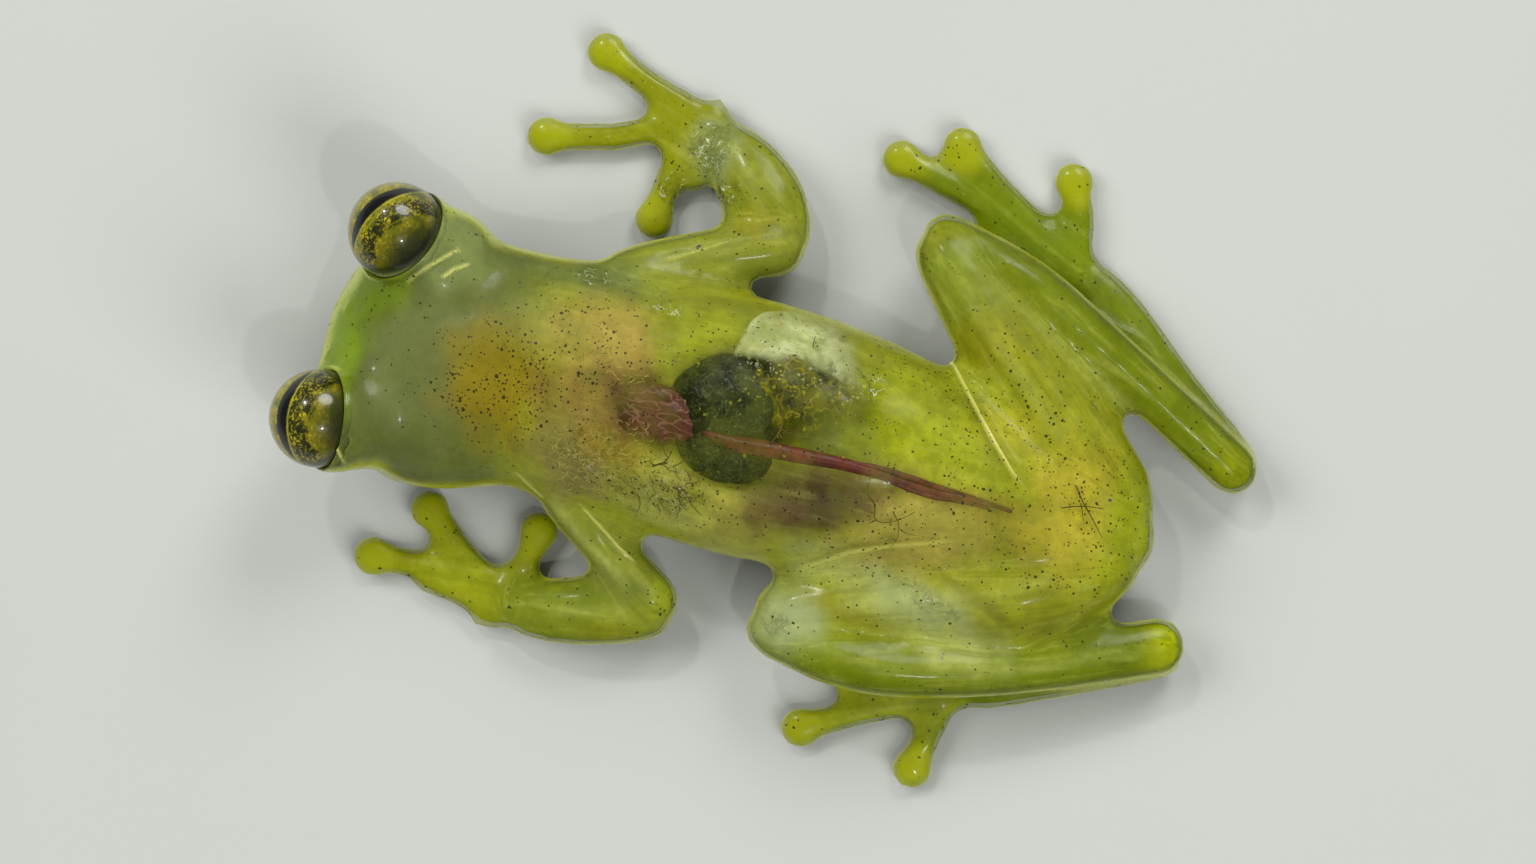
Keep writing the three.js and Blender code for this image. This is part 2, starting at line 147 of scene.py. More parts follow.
# Skin tint, flesh tint, cover, evenness, filling, inset, streaks and paw.
LOOKS = {
    Region.HEAD: Look(srgb(104, 116, 48), srgb(100, 108, 44), 0.36, 0.7, 0.35, 0.3, 0.1),
    Region.TORSO: Look(srgb(146, 152, 48), srgb(132, 138, 22), 0.2, 1.0, 0.9, 0.26, 0.35),
    Region.UPPER_ARM: Look(srgb(140, 148, 50), srgb(126, 134, 28), 0.3, 0.45, 0.8, 0.2, 1.0),
    Region.FOREARM: Look(srgb(138, 146, 34), srgb(122, 130, 18), 0.32, 0.45, 0.5, 0.2, 1.0),
    Region.HAND: Look(srgb(142, 148, 14), srgb(134, 140, 8), 0.4, 0.12, 0.3, 0.14, 0.8, 1.0),
    Region.THIGH: Look(srgb(142, 148, 26), srgb(136, 140, 26), 0.3, 0.55, 0.18, 0.24, 1.0),
    Region.SHANK: Look(srgb(124, 136, 8), srgb(98, 112, 4), 0.32, 0.4, 0.15, 0.2, 1.0),
    Region.TARSUS: Look(srgb(126, 140, 20), srgb(98, 114, 2), 0.34, 0.3, 0.2, 0.18, 1.0),
    Region.FOOT: Look(srgb(130, 142, 10), srgb(112, 128, 0), 0.4, 0.12, 0.25, 0.13, 0.8, 1.0),
}


@dataclass(frozen=True)
class Layout:
    """The layout of the body, in millimetres, and its place in the model's frame."""

    middle: Spot = (-0.025, -0.04)

    def place(self, x: float, y: float, z: float = 0.0) -> Vector:
        """Returns a place of the layout in metres in the model's frame."""
        return Vector((x - self.middle[0], y - self.middle[1], z)) * MM

    def spots(self, points: np.ndarray) -> np.ndarray:
        """Returns points of the model's frame, in metres, as places of the layout."""
        return points / MM + np.array([*self.middle, 0.0])


LAYOUT = Layout()


# Selecting and shaping meshes


def activate(first: Piece, *others: Piece) -> None:
    """Selects these objects and nothing else, with the first one active."""
    bpy.ops.object.select_all(action="DESELECT")
    for one in (first, *others):
        one.select_set(True)
    bpy.context.view_layer.objects.active = first


def shape_with(obj: Piece, kind: str, **settings: object) -> None:
    """Adds a modifier with these settings and applies it.

    Args:
        obj: The piece to shape.
        kind: The modifier's type.
        settings: The modifier's own values.
    """
    activate(obj)
    modifier = obj.modifiers.new(kind.title(), kind)
    for name, value in settings.items():
        setattr(modifier, name, value)
    bpy.ops.object.modifier_apply(modifier=modifier.name)


def rows_of(items: bpy.types.bpy_prop_collection, name: str) -> np.ndarray:
    """Returns a vector of each point or face of a mesh, one row for each."""
    flat = np.empty(len(items) * 3, np.float32)
    items.foreach_get(name, flat)
    return flat.reshape(-1, 3).astype(float)


def points_of(obj: Piece) -> np.ndarray:
    """Returns a mesh's points in metres, one row for each."""
    return rows_of(obj.data.vertices, "co")


def normals_of(obj: Piece) -> np.ndarray:
    """Returns the direction that each point of a mesh faces."""
    return rows_of(obj.data.vertex_normals, "vector")


def move_points(obj: Piece, points: np.ndarray) -> None:
    """Moves a mesh's points to these places."""
    obj.data.vertices.foreach_set("co", points.astype(np.float32).ravel())
    obj.data.update()


class Kept(Enum):
    """What a mesh can keep for each point: the kind of attribute and the field that holds it."""

    NUMBER = ("FLOAT", "value")
    VECTOR = ("FLOAT_VECTOR", "vector")
    COLOUR = ("FLOAT_COLOR", "color")


def keep(obj: Piece, name: str, values: np.ndarray, what: Kept = Kept.NUMBER) -> None:
    """Keeps a value for each point of a mesh as an attribute, colours as opaque ones."""
    kind, slot = what.value
    if what is Kept.COLOUR:
        values = np.hstack([values, np.ones((len(values), 1))])
    layer = obj.data.attributes.new(name, kind, "POINT")
    layer.data.foreach_set(slot, values.astype(np.float32).ravel())


def polygons_of(obj: Piece) -> tuple[list[Vector], list[tuple[int, ...]]]:
    """Returns a mesh's points and faces for a search tree."""
    points = [v.co.copy() for v in obj.data.vertices]
    return points, [tuple(face.vertices) for face in obj.data.polygons]


def keep_largest(obj: Piece) -> Piece:
    """Keeps the largest closed surface of a mesh.

    Args:
        obj: The mesh, which may hold several surfaces.

    Returns:
        The object that holds the largest one, under the same name.
    """
    name = obj.name
    activate(obj)
    bpy.ops.object.mode_set(mode="EDIT")
    bpy.ops.mesh.select_all(action="SELECT")
    bpy.ops.mesh.separate(type="LOOSE")
    bpy.ops.object.mode_set(mode="OBJECT")
    parts = sorted(bpy.context.selected_objects, key=lambda part: len(part.data.vertices))
    for scrap in parts[:-1]:
        bpy.data.objects.remove(scrap)
    parts[-1].name = name
    return parts[-1]


def merge_doubles(obj: Piece, outwards: bool = False) -> None:
    """Merges doubled points, and turns a closed mesh's faces outwards where asked."""
    activate(obj)
    bpy.ops.object.mode_set(mode="EDIT")
    bpy.ops.mesh.select_all(action="SELECT")
    bpy.ops.mesh.remove_doubles(threshold=DOUBLES)
    if outwards:
        bpy.ops.mesh.normals_make_consistent(inside=False)
    bpy.ops.object.mode_set(mode="OBJECT")


def shade_smooth(obj: Piece) -> None:
    """Shades a mesh smooth all over."""
    activate(obj)
    bpy.ops.object.shade_smooth()


def add_piece(name: str, operator: Callable[..., object], **settings: object) -> Piece:
    """Adds an object with an operator while nothing else is selected.

    Args:
        name: The new object's name.
        operator: The operator that adds it.
        settings: The operator's own values.

    Returns:
        The new object.
    """
    bpy.ops.object.select_all(action="DESELECT")
    operator(**settings)
    piece = bpy.context.object
    piece.name = name
    return piece


def copy_of(obj: Piece, name: str) -> Piece:
    """Returns a new object with a copy of this one's mesh."""
    copy = bpy.data.objects.new(name, obj.data.copy())
    bpy.context.scene.collection.objects.link(copy)
    return copy


def join(parts: list[Piece], name: str) -> Piece:
    """Returns one object, under this name, that holds all parts."""
    activate(*parts)
    bpy.ops.object.join()
    parts[0].name = name
    return parts[0]


class Links:
    """The edges of a mesh, for averages over the neighbours of each point."""

    def __init__(self, obj: Piece) -> None:
        """Reads the edges of a mesh."""
        pairs = np.empty(len(obj.data.edges) * 2, np.int32)
        obj.data.edges.foreach_get("vertices", pairs)
        self.starts, self.ends = pairs.reshape(-1, 2).T
        self.count = len(obj.data.vertices)
        degree = np.bincount(self.starts, minlength=self.count) + np.bincount(self.ends, minlength=self.count)
        self.degree = np.maximum(degree, 1)

    def mean(self, values: np.ndarray) -> np.ndarray:
        """Returns the average over each point's neighbours.

        Args:
            values: A number or a row of numbers for each point.

        Returns:
            An array of the same shape.
        """
        if values.ndim == 2:
            return np.stack([self.mean(column) for column in values.T], axis=1)
        total = np.bincount(self.starts, values[self.ends], self.count)
        total += np.bincount(self.ends, values[self.starts], self.count)
        return total / self.degree

    def spread(self, values: np.ndarray, rounds: int) -> np.ndarray:
        """Returns the values softened over the surface, more with each round."""
        for _ in range(rounds):
            values = 0.5 * (values + self.mean(values))
        return values


@dataclass
class NodeFinder:
    """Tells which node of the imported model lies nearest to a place."""

    nodes: list[Piece]
    owners: list[int] = field(default_factory=list)

    def __post_init__(self) -> None:
        """Puts the faces of all nodes into one search tree."""
        points: list[Vector] = []
        faces: list[tuple[int, ...]] = []
        for number, node in enumerate(self.nodes):
            first = len(points)
            own_points, own_faces = polygons_of(node)
            points.extend(own_points)
            faces.extend(tuple(first + corner for corner in face) for face in own_faces)
            self.owners.extend([number] * len(own_faces))
        self.tree = BVHTree.FromPolygons(points, faces)

    def nearest(self, points: np.ndarray) -> np.ndarray:
        """Returns the number of the nearest node for each point."""
        return np.array([self.owners[self.tree.find_nearest(point)[2]] for point in points])

    def values(self, owners: np.ndarray, name: str) -> np.ndarray:
        """Returns what the look of each point's region says under this name, colours without their alpha."""
        table = np.array([getattr(LOOKS[Region.of(node.name)], name) for node in self.nodes])
        return table[owners] if table.ndim == 1 else table[owners, :3]

    def paws(self, owners: np.ndarray, links: Links) -> np.ndarray:
        """Returns how far each point belongs to a hand or foot, from 0 to 1."""
        return links.spread(self.values(owners, "paw"), 6)

    def grain(self, owners: np.ndarray, points: np.ndarray) -> np.ndarray:
        """Works out how far each point lies along and across its part of the body.

        Args:
            owners: The number of each point's node.
            points: The points in metres.

        Returns:
            For each point its place along the length of the part and across it, in millimetres.
        """
        found = np.zeros_like(points)
        for number, node in enumerate(self.nodes):
            own = points_of(node)
            centre = own.mean(axis=0)
            axes = np.linalg.svd(own - centre, full_matrices=False)[2]
            mine = owners == number
            found[mine] = (points[mine] - centre) @ axes.T / MM
        return found


@dataclass
class Surface:
    """The skin as seen from above, for laying pieces at a depth under it."""

    skin: Piece
    start: float = 20.0
    lowest: float = 0.3

    def __post_init__(self) -> None:
        """Puts the skin into a search tree."""
        self.tree = BVHTree.FromPolygons(*polygons_of(self.skin))

    def top(self, x: float, y: float) -> float:
        """Returns the height of the skin above a place of the layout, or 0 beside the body."""
        hit = self.tree.ray_cast(LAYOUT.place(x, y, self.start), Vector((0.0, 0.0, -1.0)))[0]
        return hit.z / MM if hit else 0.0

    def under(self, x: float, y: float, depth: float) -> Point:
        """Returns the place of the layout that lies this deep under the skin, clear of the floor."""
        return (x, y, max(self.top(x, y) - depth, self.lowest))


# Colours and markings over the body


@dataclass(frozen=True)
class Patch:
    """A soft patch on the body: its middle, half sizes, turn in degrees and what it holds."""

    x: float
    y: float
    half_x: float
    half_y: float
    value: Colour | float
    turn: float = 0.0
    amount: float = 1.0
    softness: float = 0.45
    ripple: float = 0.1
    on_paws: bool = False

    def weights(self, spots: np.ndarray) -> np.ndarray:
        """Returns how strongly the patch shows at each place of the layout."""
        angle = math.radians(self.turn)
        east, north = spots[:, 0] - self.x, spots[:, 1] - self.y
        along = (east * math.cos(angle) + north * math.sin(angle)) / self.half_x
        across = (north * math.cos(angle) - east * math.sin(angle)) / self.half_y
        x, y = spots[:, 0], spots[:, 1]
        ripples = np.sin(3.1 * x + 1.3 * y) + np.sin(4.7 * y - 2.3 * x)
        reach = np.hypot(along, across) + self.ripple * ripples
        return self.amount * ease(reach, 1.0 + self.softness, 1.0 - self.softness)


def paint(start: np.ndarray, patches: tuple[Patch, ...], spots: np.ndarray, paws: np.ndarray) -> np.ndarray:
    """Lays patches over one another.

    Args:
        start: The values under all patches, a number or a colour for each point.
        patches: The patches, the lowest first.
        spots: The points' places in the layout.
        paws: How far each point belongs to a hand or foot, from 0 to 1.

    Returns:
        The values with the patches in them.
    """
    values = start.copy()
    for patch in patches:
        weight = patch.weights(spots) * (paws if patch.on_paws else 1.0)
        if values.ndim == 2:
            values += weight[:, None] * (np.array(patch.value[:3]) - values)
        else:
            values += weight * (patch.value - values)
    return values


@dataclass(frozen=True)
class Course:
    """A soft line over the layout: the spots that it passes, its half width and its strength."""

    spots: Path
    width: float = 0.1
    strength: float = 1.0

    def away(self, spots: np.ndarray) -> tuple[np.ndarray, np.ndarray]:
        """Returns how far each place is from the line, and how far along the line that is."""
        away = np.full(len(spots), np.inf)
        along = np.zeros(len(spots))
        steps = list(zip(self.spots, self.spots[1:]))
        for number, (start, end) in enumerate(steps):
            run = np.array(end) - np.array(start)
            offset = spots[:, :2] - np.array(start)
            share = np.clip(offset @ run / (run @ run), 0.0, 1.0)
            distance = np.linalg.norm(offset - share[:, None] * run, axis=1)
            nearer = distance < away
            along[nearer] = (number + share[nearer]) / len(steps)
            away = np.minimum(away, distance)
        return away, along

    def weights(self, spots: np.ndarray) -> np.ndarray:
        """Returns how strongly the line shows at each place, fading at its ends."""
        away, along = self.away(spots)
        fade = ease(along, 0.0, 0.15) * ease(along, 1.0, 0.8)
        return self.strength * fade * bell(away, self.width)


def draw_courses(courses: tuple[Course, ...], spots: np.ndarray) -> np.ndarray:
    """Returns the strongest of several lines at each place."""
    return np.max([course.weights(spots) for course in courses], axis=0)


# Shader nodes


class Graph:
    """Adds shader nodes to a tree and links them."""

    def __init__(self, tree: bpy.types.NodeTree) -> None:
        """Keeps the tree that the nodes go into."""
        self.tree = tree

    def add(self, kind: str, inputs: Inputs | None = None, **settings: object) -> bpy.types.Node:
        """Adds a node.

        Args:
            kind: The node's type.
            inputs: Values or other nodes' outputs for its sockets, by name or number.
            settings: The node's own values.

        Returns:
            The node.
        """
        node = self.tree.nodes.new(kind)
        for name, value in settings.items():
            setattr(node, name, value)
        self.feed(node, inputs or {})
        return node

    def feed(self, node: bpy.types.Node, inputs: Inputs) -> None:
        """Sets sockets of a node to plain values, or links them to other nodes' outputs."""
        for name, value in inputs.items():
            if isinstance(value, Socket):
                self.tree.links.new(value, node.inputs[name])
            else:
                node.inputs[name].default_value = value

    def math(self, operation: str, first: object, second: object = 0.0, clamp: bool = False) -> Socket:
        """Returns the result of a calculation with two numbers."""
        node = self.add("ShaderNodeMath", {0: first, 1: second}, operation=operation, use_clamp=clamp)
        return node.outputs[0]

    def times(self, first: object, second: object, clamp: bool = False) -> Socket:
        """Returns the product of two numbers."""
        return self.math("MULTIPLY", first, second, clamp)

    def plus(self, first: object, second: object) -> Socket:
        """Returns the sum of two numbers."""
        return self.math("ADD", first, second)

    def minus(self, first: object, second: object) -> Socket:
        """Returns the first number less the second."""
        return self.math("SUBTRACT", first, second)

    def most(self, first: object, second: object, clamp: bool = False) -> Socket:
        """Returns the larger of two numbers."""
        return self.math("MAXIMUM", first, second, clamp)

    def gap(self, first: object, second: object) -> Socket:
        """Returns how far apart two numbers are."""
        return self.math("ABSOLUTE", self.minus(first, second))

    def remap(
        self, value: object, low: object, high: object, to_low: float = 0.0, to_high: float = 1.0
    ) -> Socket:
        """Returns a number eased from one range into another."""
        inputs = {"Value": value, "From Min": low, "From Max": high, "To Min": to_low, "To Max": to_high}
        return self.add("ShaderNodeMapRange", inputs, interpolation_type="SMOOTHSTEP").outputs[0]

    def blend(self, amount: object, first: object, second: object, way: str = "MIX") -> Socket:
        """Returns two colours blended by an amount from 0 to 1."""
        node = self.add("ShaderNodeMix", {0: amount, 6: first, 7: second}, data_type="RGBA", blend_type=way)
        return node.outputs[2]

    def layers(self, colour: object, *coats: tuple[object, object]) -> Socket:
        """Returns a colour under coats of other colours, each given with its amount from 0 to 1."""
        for amount, coat in coats:
            colour = self.blend(amount, colour, coat)
        return colour

    def attribute(self, name: str, output: str = "Fac") -> Socket:
        """Returns what the surface holds under this name."""
        return self.add("ShaderNodeAttribute", attribute_name=name).outputs[output]

    def here(self) -> Socket:
        """Returns the place on the piece."""
        return self.add("ShaderNodeTexCoord").outputs["Object"]

    def facing_up(self) -> Socket:
        """Returns how far the surface faces up, from -1 to 1."""
        normal = self.add("ShaderNodeTexCoord").outputs["Normal"]
        return self.add("ShaderNodeSeparateXYZ", {0: normal}).outputs["Z"]

    def noise(self, place: object, scale: object, detail: float = 3.0, output: str = "Fac") -> Socket:
        """Returns noise at a place, with this many waves in a metre."""
        inputs = {"Vector": place, "Scale": scale, "Detail": detail}
        return self.add("ShaderNodeTexNoise", inputs).outputs[output]

    def stretched(self, place: object, scale: Point) -> Socket:
        """Returns a place scaled along each axis."""
        return self.add("ShaderNodeMapping", {"Vector": place, "Scale": scale}).outputs[0]

    def swayed(self, place: object, scale: object, reach: object) -> Socket:
        """Returns a place pushed about by noise of this scale, by half the reach at most."""
        sway = self.noise(place, scale, 1.0, "Color")
        centred = self.add("ShaderNodeVectorMath", {0: sway, 1: (0.5, 0.5, 0.5)}, operation="SUBTRACT")
        push = self.add("ShaderNodeVectorMath", {0: centred.outputs[0], "Scale": reach}, operation="SCALE")
        return self.add("ShaderNodeVectorMath", {0: place, 1: push.outputs[0]}, operation="ADD").outputs[0]

    def bumped(
        self, height: Socket, strength: object, distance: object, normal: Socket | None = None
    ) -> Socket:
        """Returns the normal of a surface raised by this height."""
        inputs = {"Height": height, "Strength": strength, "Distance": distance}
        if normal:
            inputs["Normal"] = normal
        return self.add("ShaderNodeBump", inputs).outputs["Normal"]


NUMBER = "NodeSocketFloat"
VECTOR = "NodeSocketVector"


class Effect:
    """A shader node group that several finishes share."""

    def __init__(self, name: str, output: str, kind: str, **numbers: float) -> None:
        """Makes the group, with a place and some numbers as its inputs.

        Args:
            name: The group's name.
            output: The name of its one output.
            kind: The kind of that output.
            numbers: The number inputs, by name, and the values that they start with.
        """
        self.tree = bpy.data.node_groups.new(name, "ShaderNodeTree")
        self.tree.interface.new_socket("Vector", in_out="INPUT", socket_type=VECTOR)
        for title, value in numbers.items():
            socket = self.tree.interface.new_socket(title, in_out="INPUT", socket_type=NUMBER)
            socket.default_value = value
        self.tree.interface.new_socket(output, in_out="OUTPUT", socket_type=kind)
        self.graph = Graph(self.tree)
        self.inputs = list(self.tree.nodes.new("NodeGroupInput").outputs)[: 1 + len(numbers)]
        self.result = self.tree.nodes.new("NodeGroupOutput")

    def put_out(self, value: Socket) -> "Effect":
        """Feeds the group's output, and returns the finished effect."""
        self.graph.feed(self.result, {0: value})
        return self

    def use(self, graph: Graph, place: Socket, **values: object) -> Socket:
        """Returns the output of the group, placed in a material with the material's own values."""
        node = graph.add("ShaderNodeGroup", node_tree=self.tree)
        graph.feed(node, {"Vector": place, **values})
        return node.outputs[0]


@cache
def specks() -> Effect:
    """Makes small uneven specks, in loose groups, scattered as densely as the surface asks."""
    effect = Effect("Specks", "Mask", NUMBER, Scale=3000.0, Size=0.12, Density=0.2)
    graph, (here, scale, width, density) = effect.graph, effect.inputs
    place = graph.swayed(here, graph.times(scale, 1.7), graph.math("DIVIDE", 0.45, scale))
    cells = graph.add("ShaderNodeTexVoronoi", {"Vector": place, "Scale": scale})
    draw = graph.add("ShaderNodeSeparateColor", {0: cells.outputs["Color"]})
    size = graph.times(width, graph.remap(draw.outputs[1], 0.0, 1.0, 0.6, 1.3))
    dot = graph.times(graph.minus(size, cells.outputs["Distance"]), 20.0, clamp=True)
    groups = graph.remap(graph.noise(here, 1100.0, 2.0), 0.4, 0.62, 0.35, 1.5)
    chosen = graph.math("LESS_THAN", draw.outputs[0], graph.times(density, groups))
    return effect.put_out(graph.times(dot, chosen))


@cache
def curls() -> Effect:
    """Makes short, fine, curly lines."""
    effect = Effect("Curls", "Mask", NUMBER, Scale=2500.0, Width=0.03, Share=0.5)
    graph, (here, scale, width, share) = effect.graph, effect.inputs
    line = graph.remap(graph.gap(graph.noise(here, scale, 1.0), 0.5), width, graph.times(width, 0.3))
    breaks = graph.noise(here, graph.times(scale, 0.7), 2.0)
    limit = graph.remap(share, 0.0, 1.0, 0.7, 0.3)
    return effect.put_out(graph.times(line, graph.remap(breaks, limit, graph.plus(limit, 0.06))))


@cache
def mottle() -> Effect:
    """Makes cloudy, slightly warped mottling from 0 to 1."""
    effect = Effect("Mottle", "Value", NUMBER, Scale=1000.0, Warp=0.0004)
    graph, (here, scale, warp) = effect.graph, effect.inputs
    return effect.put_out(graph.remap(graph.noise(graph.swayed(here, scale, warp), scale, 4.0), 0.3, 0.7))


@cache
def moist_grain() -> Effect:
    """Makes the fine grain of moist skin as a bumped normal."""
    effect = Effect("MoistGrain", "Normal", VECTOR, Scale=6000.0, Strength=0.2, Depth=0.00003)
    graph, (here, scale, strength, depth) = effect.graph, effect.inputs
    fine = graph.noise(here, scale, 2.0)
    cells = graph.add("ShaderNodeTexVoronoi", {"Vector": here, "Scale": scale})
    height = graph.minus(fine, graph.times(cells.outputs["Distance"], 0.4))
    return effect.put_out(graph.bumped(height, strength, depth))


def new_material(name: str, sockets: Inputs) -> tuple[bpy.types.Material, Graph, bpy.types.Node]:
    """Starts a material.

    Args:
        name: The finish's name.
        sockets: Plain values for the sockets of its shader.

    Returns:
        The material, its graph and its shader.
    """
    material = bpy.data.materials.new(name)
    material.use_nodes = True
    graph = Graph(material.node_tree)
    shader = material.node_tree.nodes["Principled BSDF"]
    graph.feed(shader, sockets)
    return material, graph, shader


def dress(obj: Piece, material: bpy.types.Material) -> None:
    """Gives a piece its only material."""
    obj.data.materials.clear()
    obj.data.materials.append(material)


@dataclass(frozen=True)
class SkinFinish:
    """Clear, wet skin: the tint, cover, specks, folds and wrinkles come from the surface. On steep sides a
    bright rim is painted as a highlight, along the folds a pale highlight line, and on the wrinkles pale
    glint lines.
    """

    speck_colour: Colour = srgb(40, 30, 6)
    fleck_colour: Colour = srgb(150, 146, 8)
    rim_highlight_colour: Colour = srgb(174, 178, 24)
    fold_highlight_colour: Colour = srgb(214, 210, 110)
    glint_colour: Colour = srgb(232, 238, 210)
    rim_cover: float = 0.6
    fold_highlight_cover: float = 0.55
    fleck_cover: float = 0.42
    glint_cover: float = 0.7
    speck_cover: float = 0.9

    def material(self) -> bpy.types.Material:
        """Returns the finish as a material."""
        wet = {"IOR": 1.36, "Coat Weight": 0.6, "Coat Roughness": 0.13, "Coat IOR": 1.36}
        material, graph, shader = new_material("clear_wet_skin", wet)
        here = graph.here()
        # Steep sides: the skin seen edge-on is thicker, so its cover rises there, and a brighter yellow rim
        # is painted there as a highlight.
        steep = graph.remap(graph.math("ABSOLUTE", graph.facing_up()), 0.62, 0.2)
        cloud = mottle().use(graph, here, Scale=900.0)
        dark = self.speck_mask(graph, here)
        gold = specks().use(graph, here, Scale=7000.0, Size=0.34, Density=graph.attribute("flecks"))
        # The fold ridges: a pale line is painted along them as a highlight, with more cover to show it.
        fold = graph.attribute("folds")
        # Pale glint lines on the wrinkles: a painted highlight, on more solid skin so that it shows.
        glint_crests = curls().use(graph, here, Scale=3200.0, Width=0.024, Share=0.55)
        glint = graph.times(glint_crests, graph.attribute("wrinkles"))
        tint = graph.layers(
            graph.attribute("tint", "Color"),
            (graph.times(steep, 0.85), self.rim_highlight_colour),
            (fold, self.fold_highlight_colour),
            (graph.times(gold, 0.7), self.fleck_colour),
            (glint, self.glint_colour),
            (dark, self.speck_colour),
        )
        cover = graph.plus(graph.attribute("cover"), graph.times(steep, self.rim_cover))
        cover = graph.plus(cover, graph.remap(cloud, 0.0, 1.0, -0.06, 0.06))
        cover = graph.plus(cover, graph.times(fold, self.fold_highlight_cover))
        cover = graph.most(cover, graph.times(gold, self.fleck_cover))
        cover = graph.most(cover, graph.times(glint, self.glint_cover))
        cover = graph.most(cover, graph.times(dark, self.speck_cover), clamp=True)
        gloss = graph.remap(graph.noise(here, 2200.0), 0.3, 0.7, 0.25, 0.45)
        relief = self.relief(graph, here)
        graph.feed(shader, {"Base Color": tint, "Alpha": cover, "Roughness": gloss, "Normal": relief})
        return material

    def speck_mask(self, graph: Graph, here: Socket) -> Socket:
        """Returns where the dark specks lie: many fine ones and a few larger ones."""
        density = graph.attribute("specks")
        fine = specks().use(graph, here, Scale=7600.0, Size=0.27, Density=density)
        large = specks().use(graph, here, Scale=5000.0, Size=0.25, Density=graph.times(density, 0.4))
        return graph.most(fine, large)

    def relief(self, graph: Graph, here: Socket) -> Socket:
        """Returns the fine grain of the skin, with wrinkles where the surface has them."""
        grain = moist_grain().use(graph, here, Scale=4200.0, Strength=0.25, Depth=0.00004)
        crinkle = graph.gap(mottle().use(graph, here, Scale=2100.0, Warp=0.0012), 0.5)
        return graph.bumped(graph.times(crinkle, graph.attribute("wrinkles")), 0.9, 0.0004, grain)


@dataclass(frozen=True)
class FleshFinish:
    """Soft flesh under the skin, streaked along each part, with its tint from the surface."""

    pale: Colour = srgb(186, 188, 92)
    deep: Colour = srgb(78, 84, 10)
    bone: Colour = srgb(176, 180, 104)
    streak_stretch: Point = (0.35, 3.2, 3.2)

    def material(self) -> bpy.types.Material:
        """Returns the finish as a material."""
        soft = {
            "Subsurface Weight": 0.35,
            "Subsurface Radius": (1.0, 0.85, 0.3),
            "Subsurface Scale": 0.0008,
            "Specular IOR Level": 0.12,
        }
        material, graph, shader = new_material("soft_flesh", soft)
        here = graph.here()
        drawn = graph.stretched(graph.attribute("grain", "Vector"), self.streak_stretch)
        streak = graph.noise(drawn, 1.0, 4.0)
        cloud = mottle().use(graph, here, Scale=750.0, Warp=0.0006)
        fine = mottle().use(graph, here, Scale=3400.0)
        firm = graph.attribute("streaks")
        pale = graph.times(graph.remap(streak, 0.5, 0.7), firm)
        deep = graph.times(graph.remap(streak, 0.5, 0.32), firm)
        tint = graph.layers(
            graph.attribute("tint", "Color"),
            (graph.times(pale, 0.34), self.pale),
            (graph.times(deep, 0.4), self.deep),
            (graph.times(graph.attribute("bones"), 0.6), self.bone),
        )
        shade = graph.times(graph.remap(cloud, 0.0, 1.0, 0.84, 1.14), graph.remap(fine, 0.0, 1.0, 0.9, 1.1))
        shades = graph.add("ShaderNodeCombineXYZ", {0: shade, 1: shade, 2: shade}).outputs[0]
        graph.feed(shader, {
            "Base Color": graph.blend(1.0, tint, shades, "MULTIPLY"),
            "Roughness": graph.remap(cloud, 0.0, 1.0, 0.4, 0.55),
            "Normal": moist_grain().use(graph, here, Scale=2600.0, Strength=0.2, Depth=0.00006),
        })
        return material


@dataclass(frozen=True)
class OrganFinish:
    """A moist organ: marbled in two colours, with flecks and fine lines, fading where it is veiled."""

    name: str
    deep: Colour
    pale: Colour
    fleck: Colour
    scale: float = 1500.0
    flecks: float = 0.3
    fleck_size: float = 0.3
    line_strength: float = 0.5
    line_scale: float = 2600.0
    stretch: Point = (1.0, 1.0, 1.0)
    bump: float = 0.4
    raggedness: float = 0.25

    def material(self) -> bpy.types.Material:
        """Returns the finish as a material."""
        moist = {
            "Subsurface Weight": 0.2,
            "Subsurface Radius": (1.0, 0.6, 0.3),
            "Subsurface Scale": 0.0003,
            "Specular IOR Level": 0.2,
        }
        material, graph, shader = new_material(self.name, moist)
        here = graph.here()
        cloud = mottle().use(graph, here, Scale=self.scale, Warp=0.0008)
        bits = specks().use(graph, here, Scale=5500.0, Size=self.fleck_size, Density=self.flecks)
        drawn = graph.stretched(here, self.stretch)
        lines = curls().use(graph, drawn, Scale=self.line_scale, Width=0.04, Share=0.75)
        uneven = graph.remap(cloud, 0.0, 1.0, -self.raggedness, self.raggedness)
        graph.feed(shader, {
            "Base Color": graph.layers(
                graph.blend(cloud, self.deep, self.pale),
                (graph.times(bits, 0.7), self.fleck),
                (graph.times(lines, self.line_strength), self.fleck),
            ),
            "Alpha": graph.remap(graph.plus(graph.attribute("fade"), uneven), 0.2, 0.75),
            "Roughness": graph.remap(cloud, 0.0, 1.0, 0.35, 0.55),
            "Normal": moist_grain().use(graph, here, Scale=4200.0, Strength=self.bump, Depth=0.0001),
        })
        return material


@dataclass(frozen=True)
class StrandFinish:
    """Vessels, fine lines and bones: one tissue with slight changes along it."""

    name: str
    dark: Colour
    light: Colour
    scale: float = 1800.0

    def material(self) -> bpy.types.Material:
        """Returns the finish as a material."""
        material, graph, shader = new_material(self.name, {"Specular IOR Level": 0.25})
        here = graph.here()
        cloud = mottle().use(graph, here, Scale=self.scale)
        graph.feed(shader, {
            "Base Color": graph.blend(cloud, self.dark, self.light),
            "Roughness": graph.remap(cloud, 0.0, 1.0, 0.3, 0.5),
            "Normal": moist_grain().use(graph, here, Scale=6000.0, Strength=0.3, Depth=0.00004),
        })
        return material


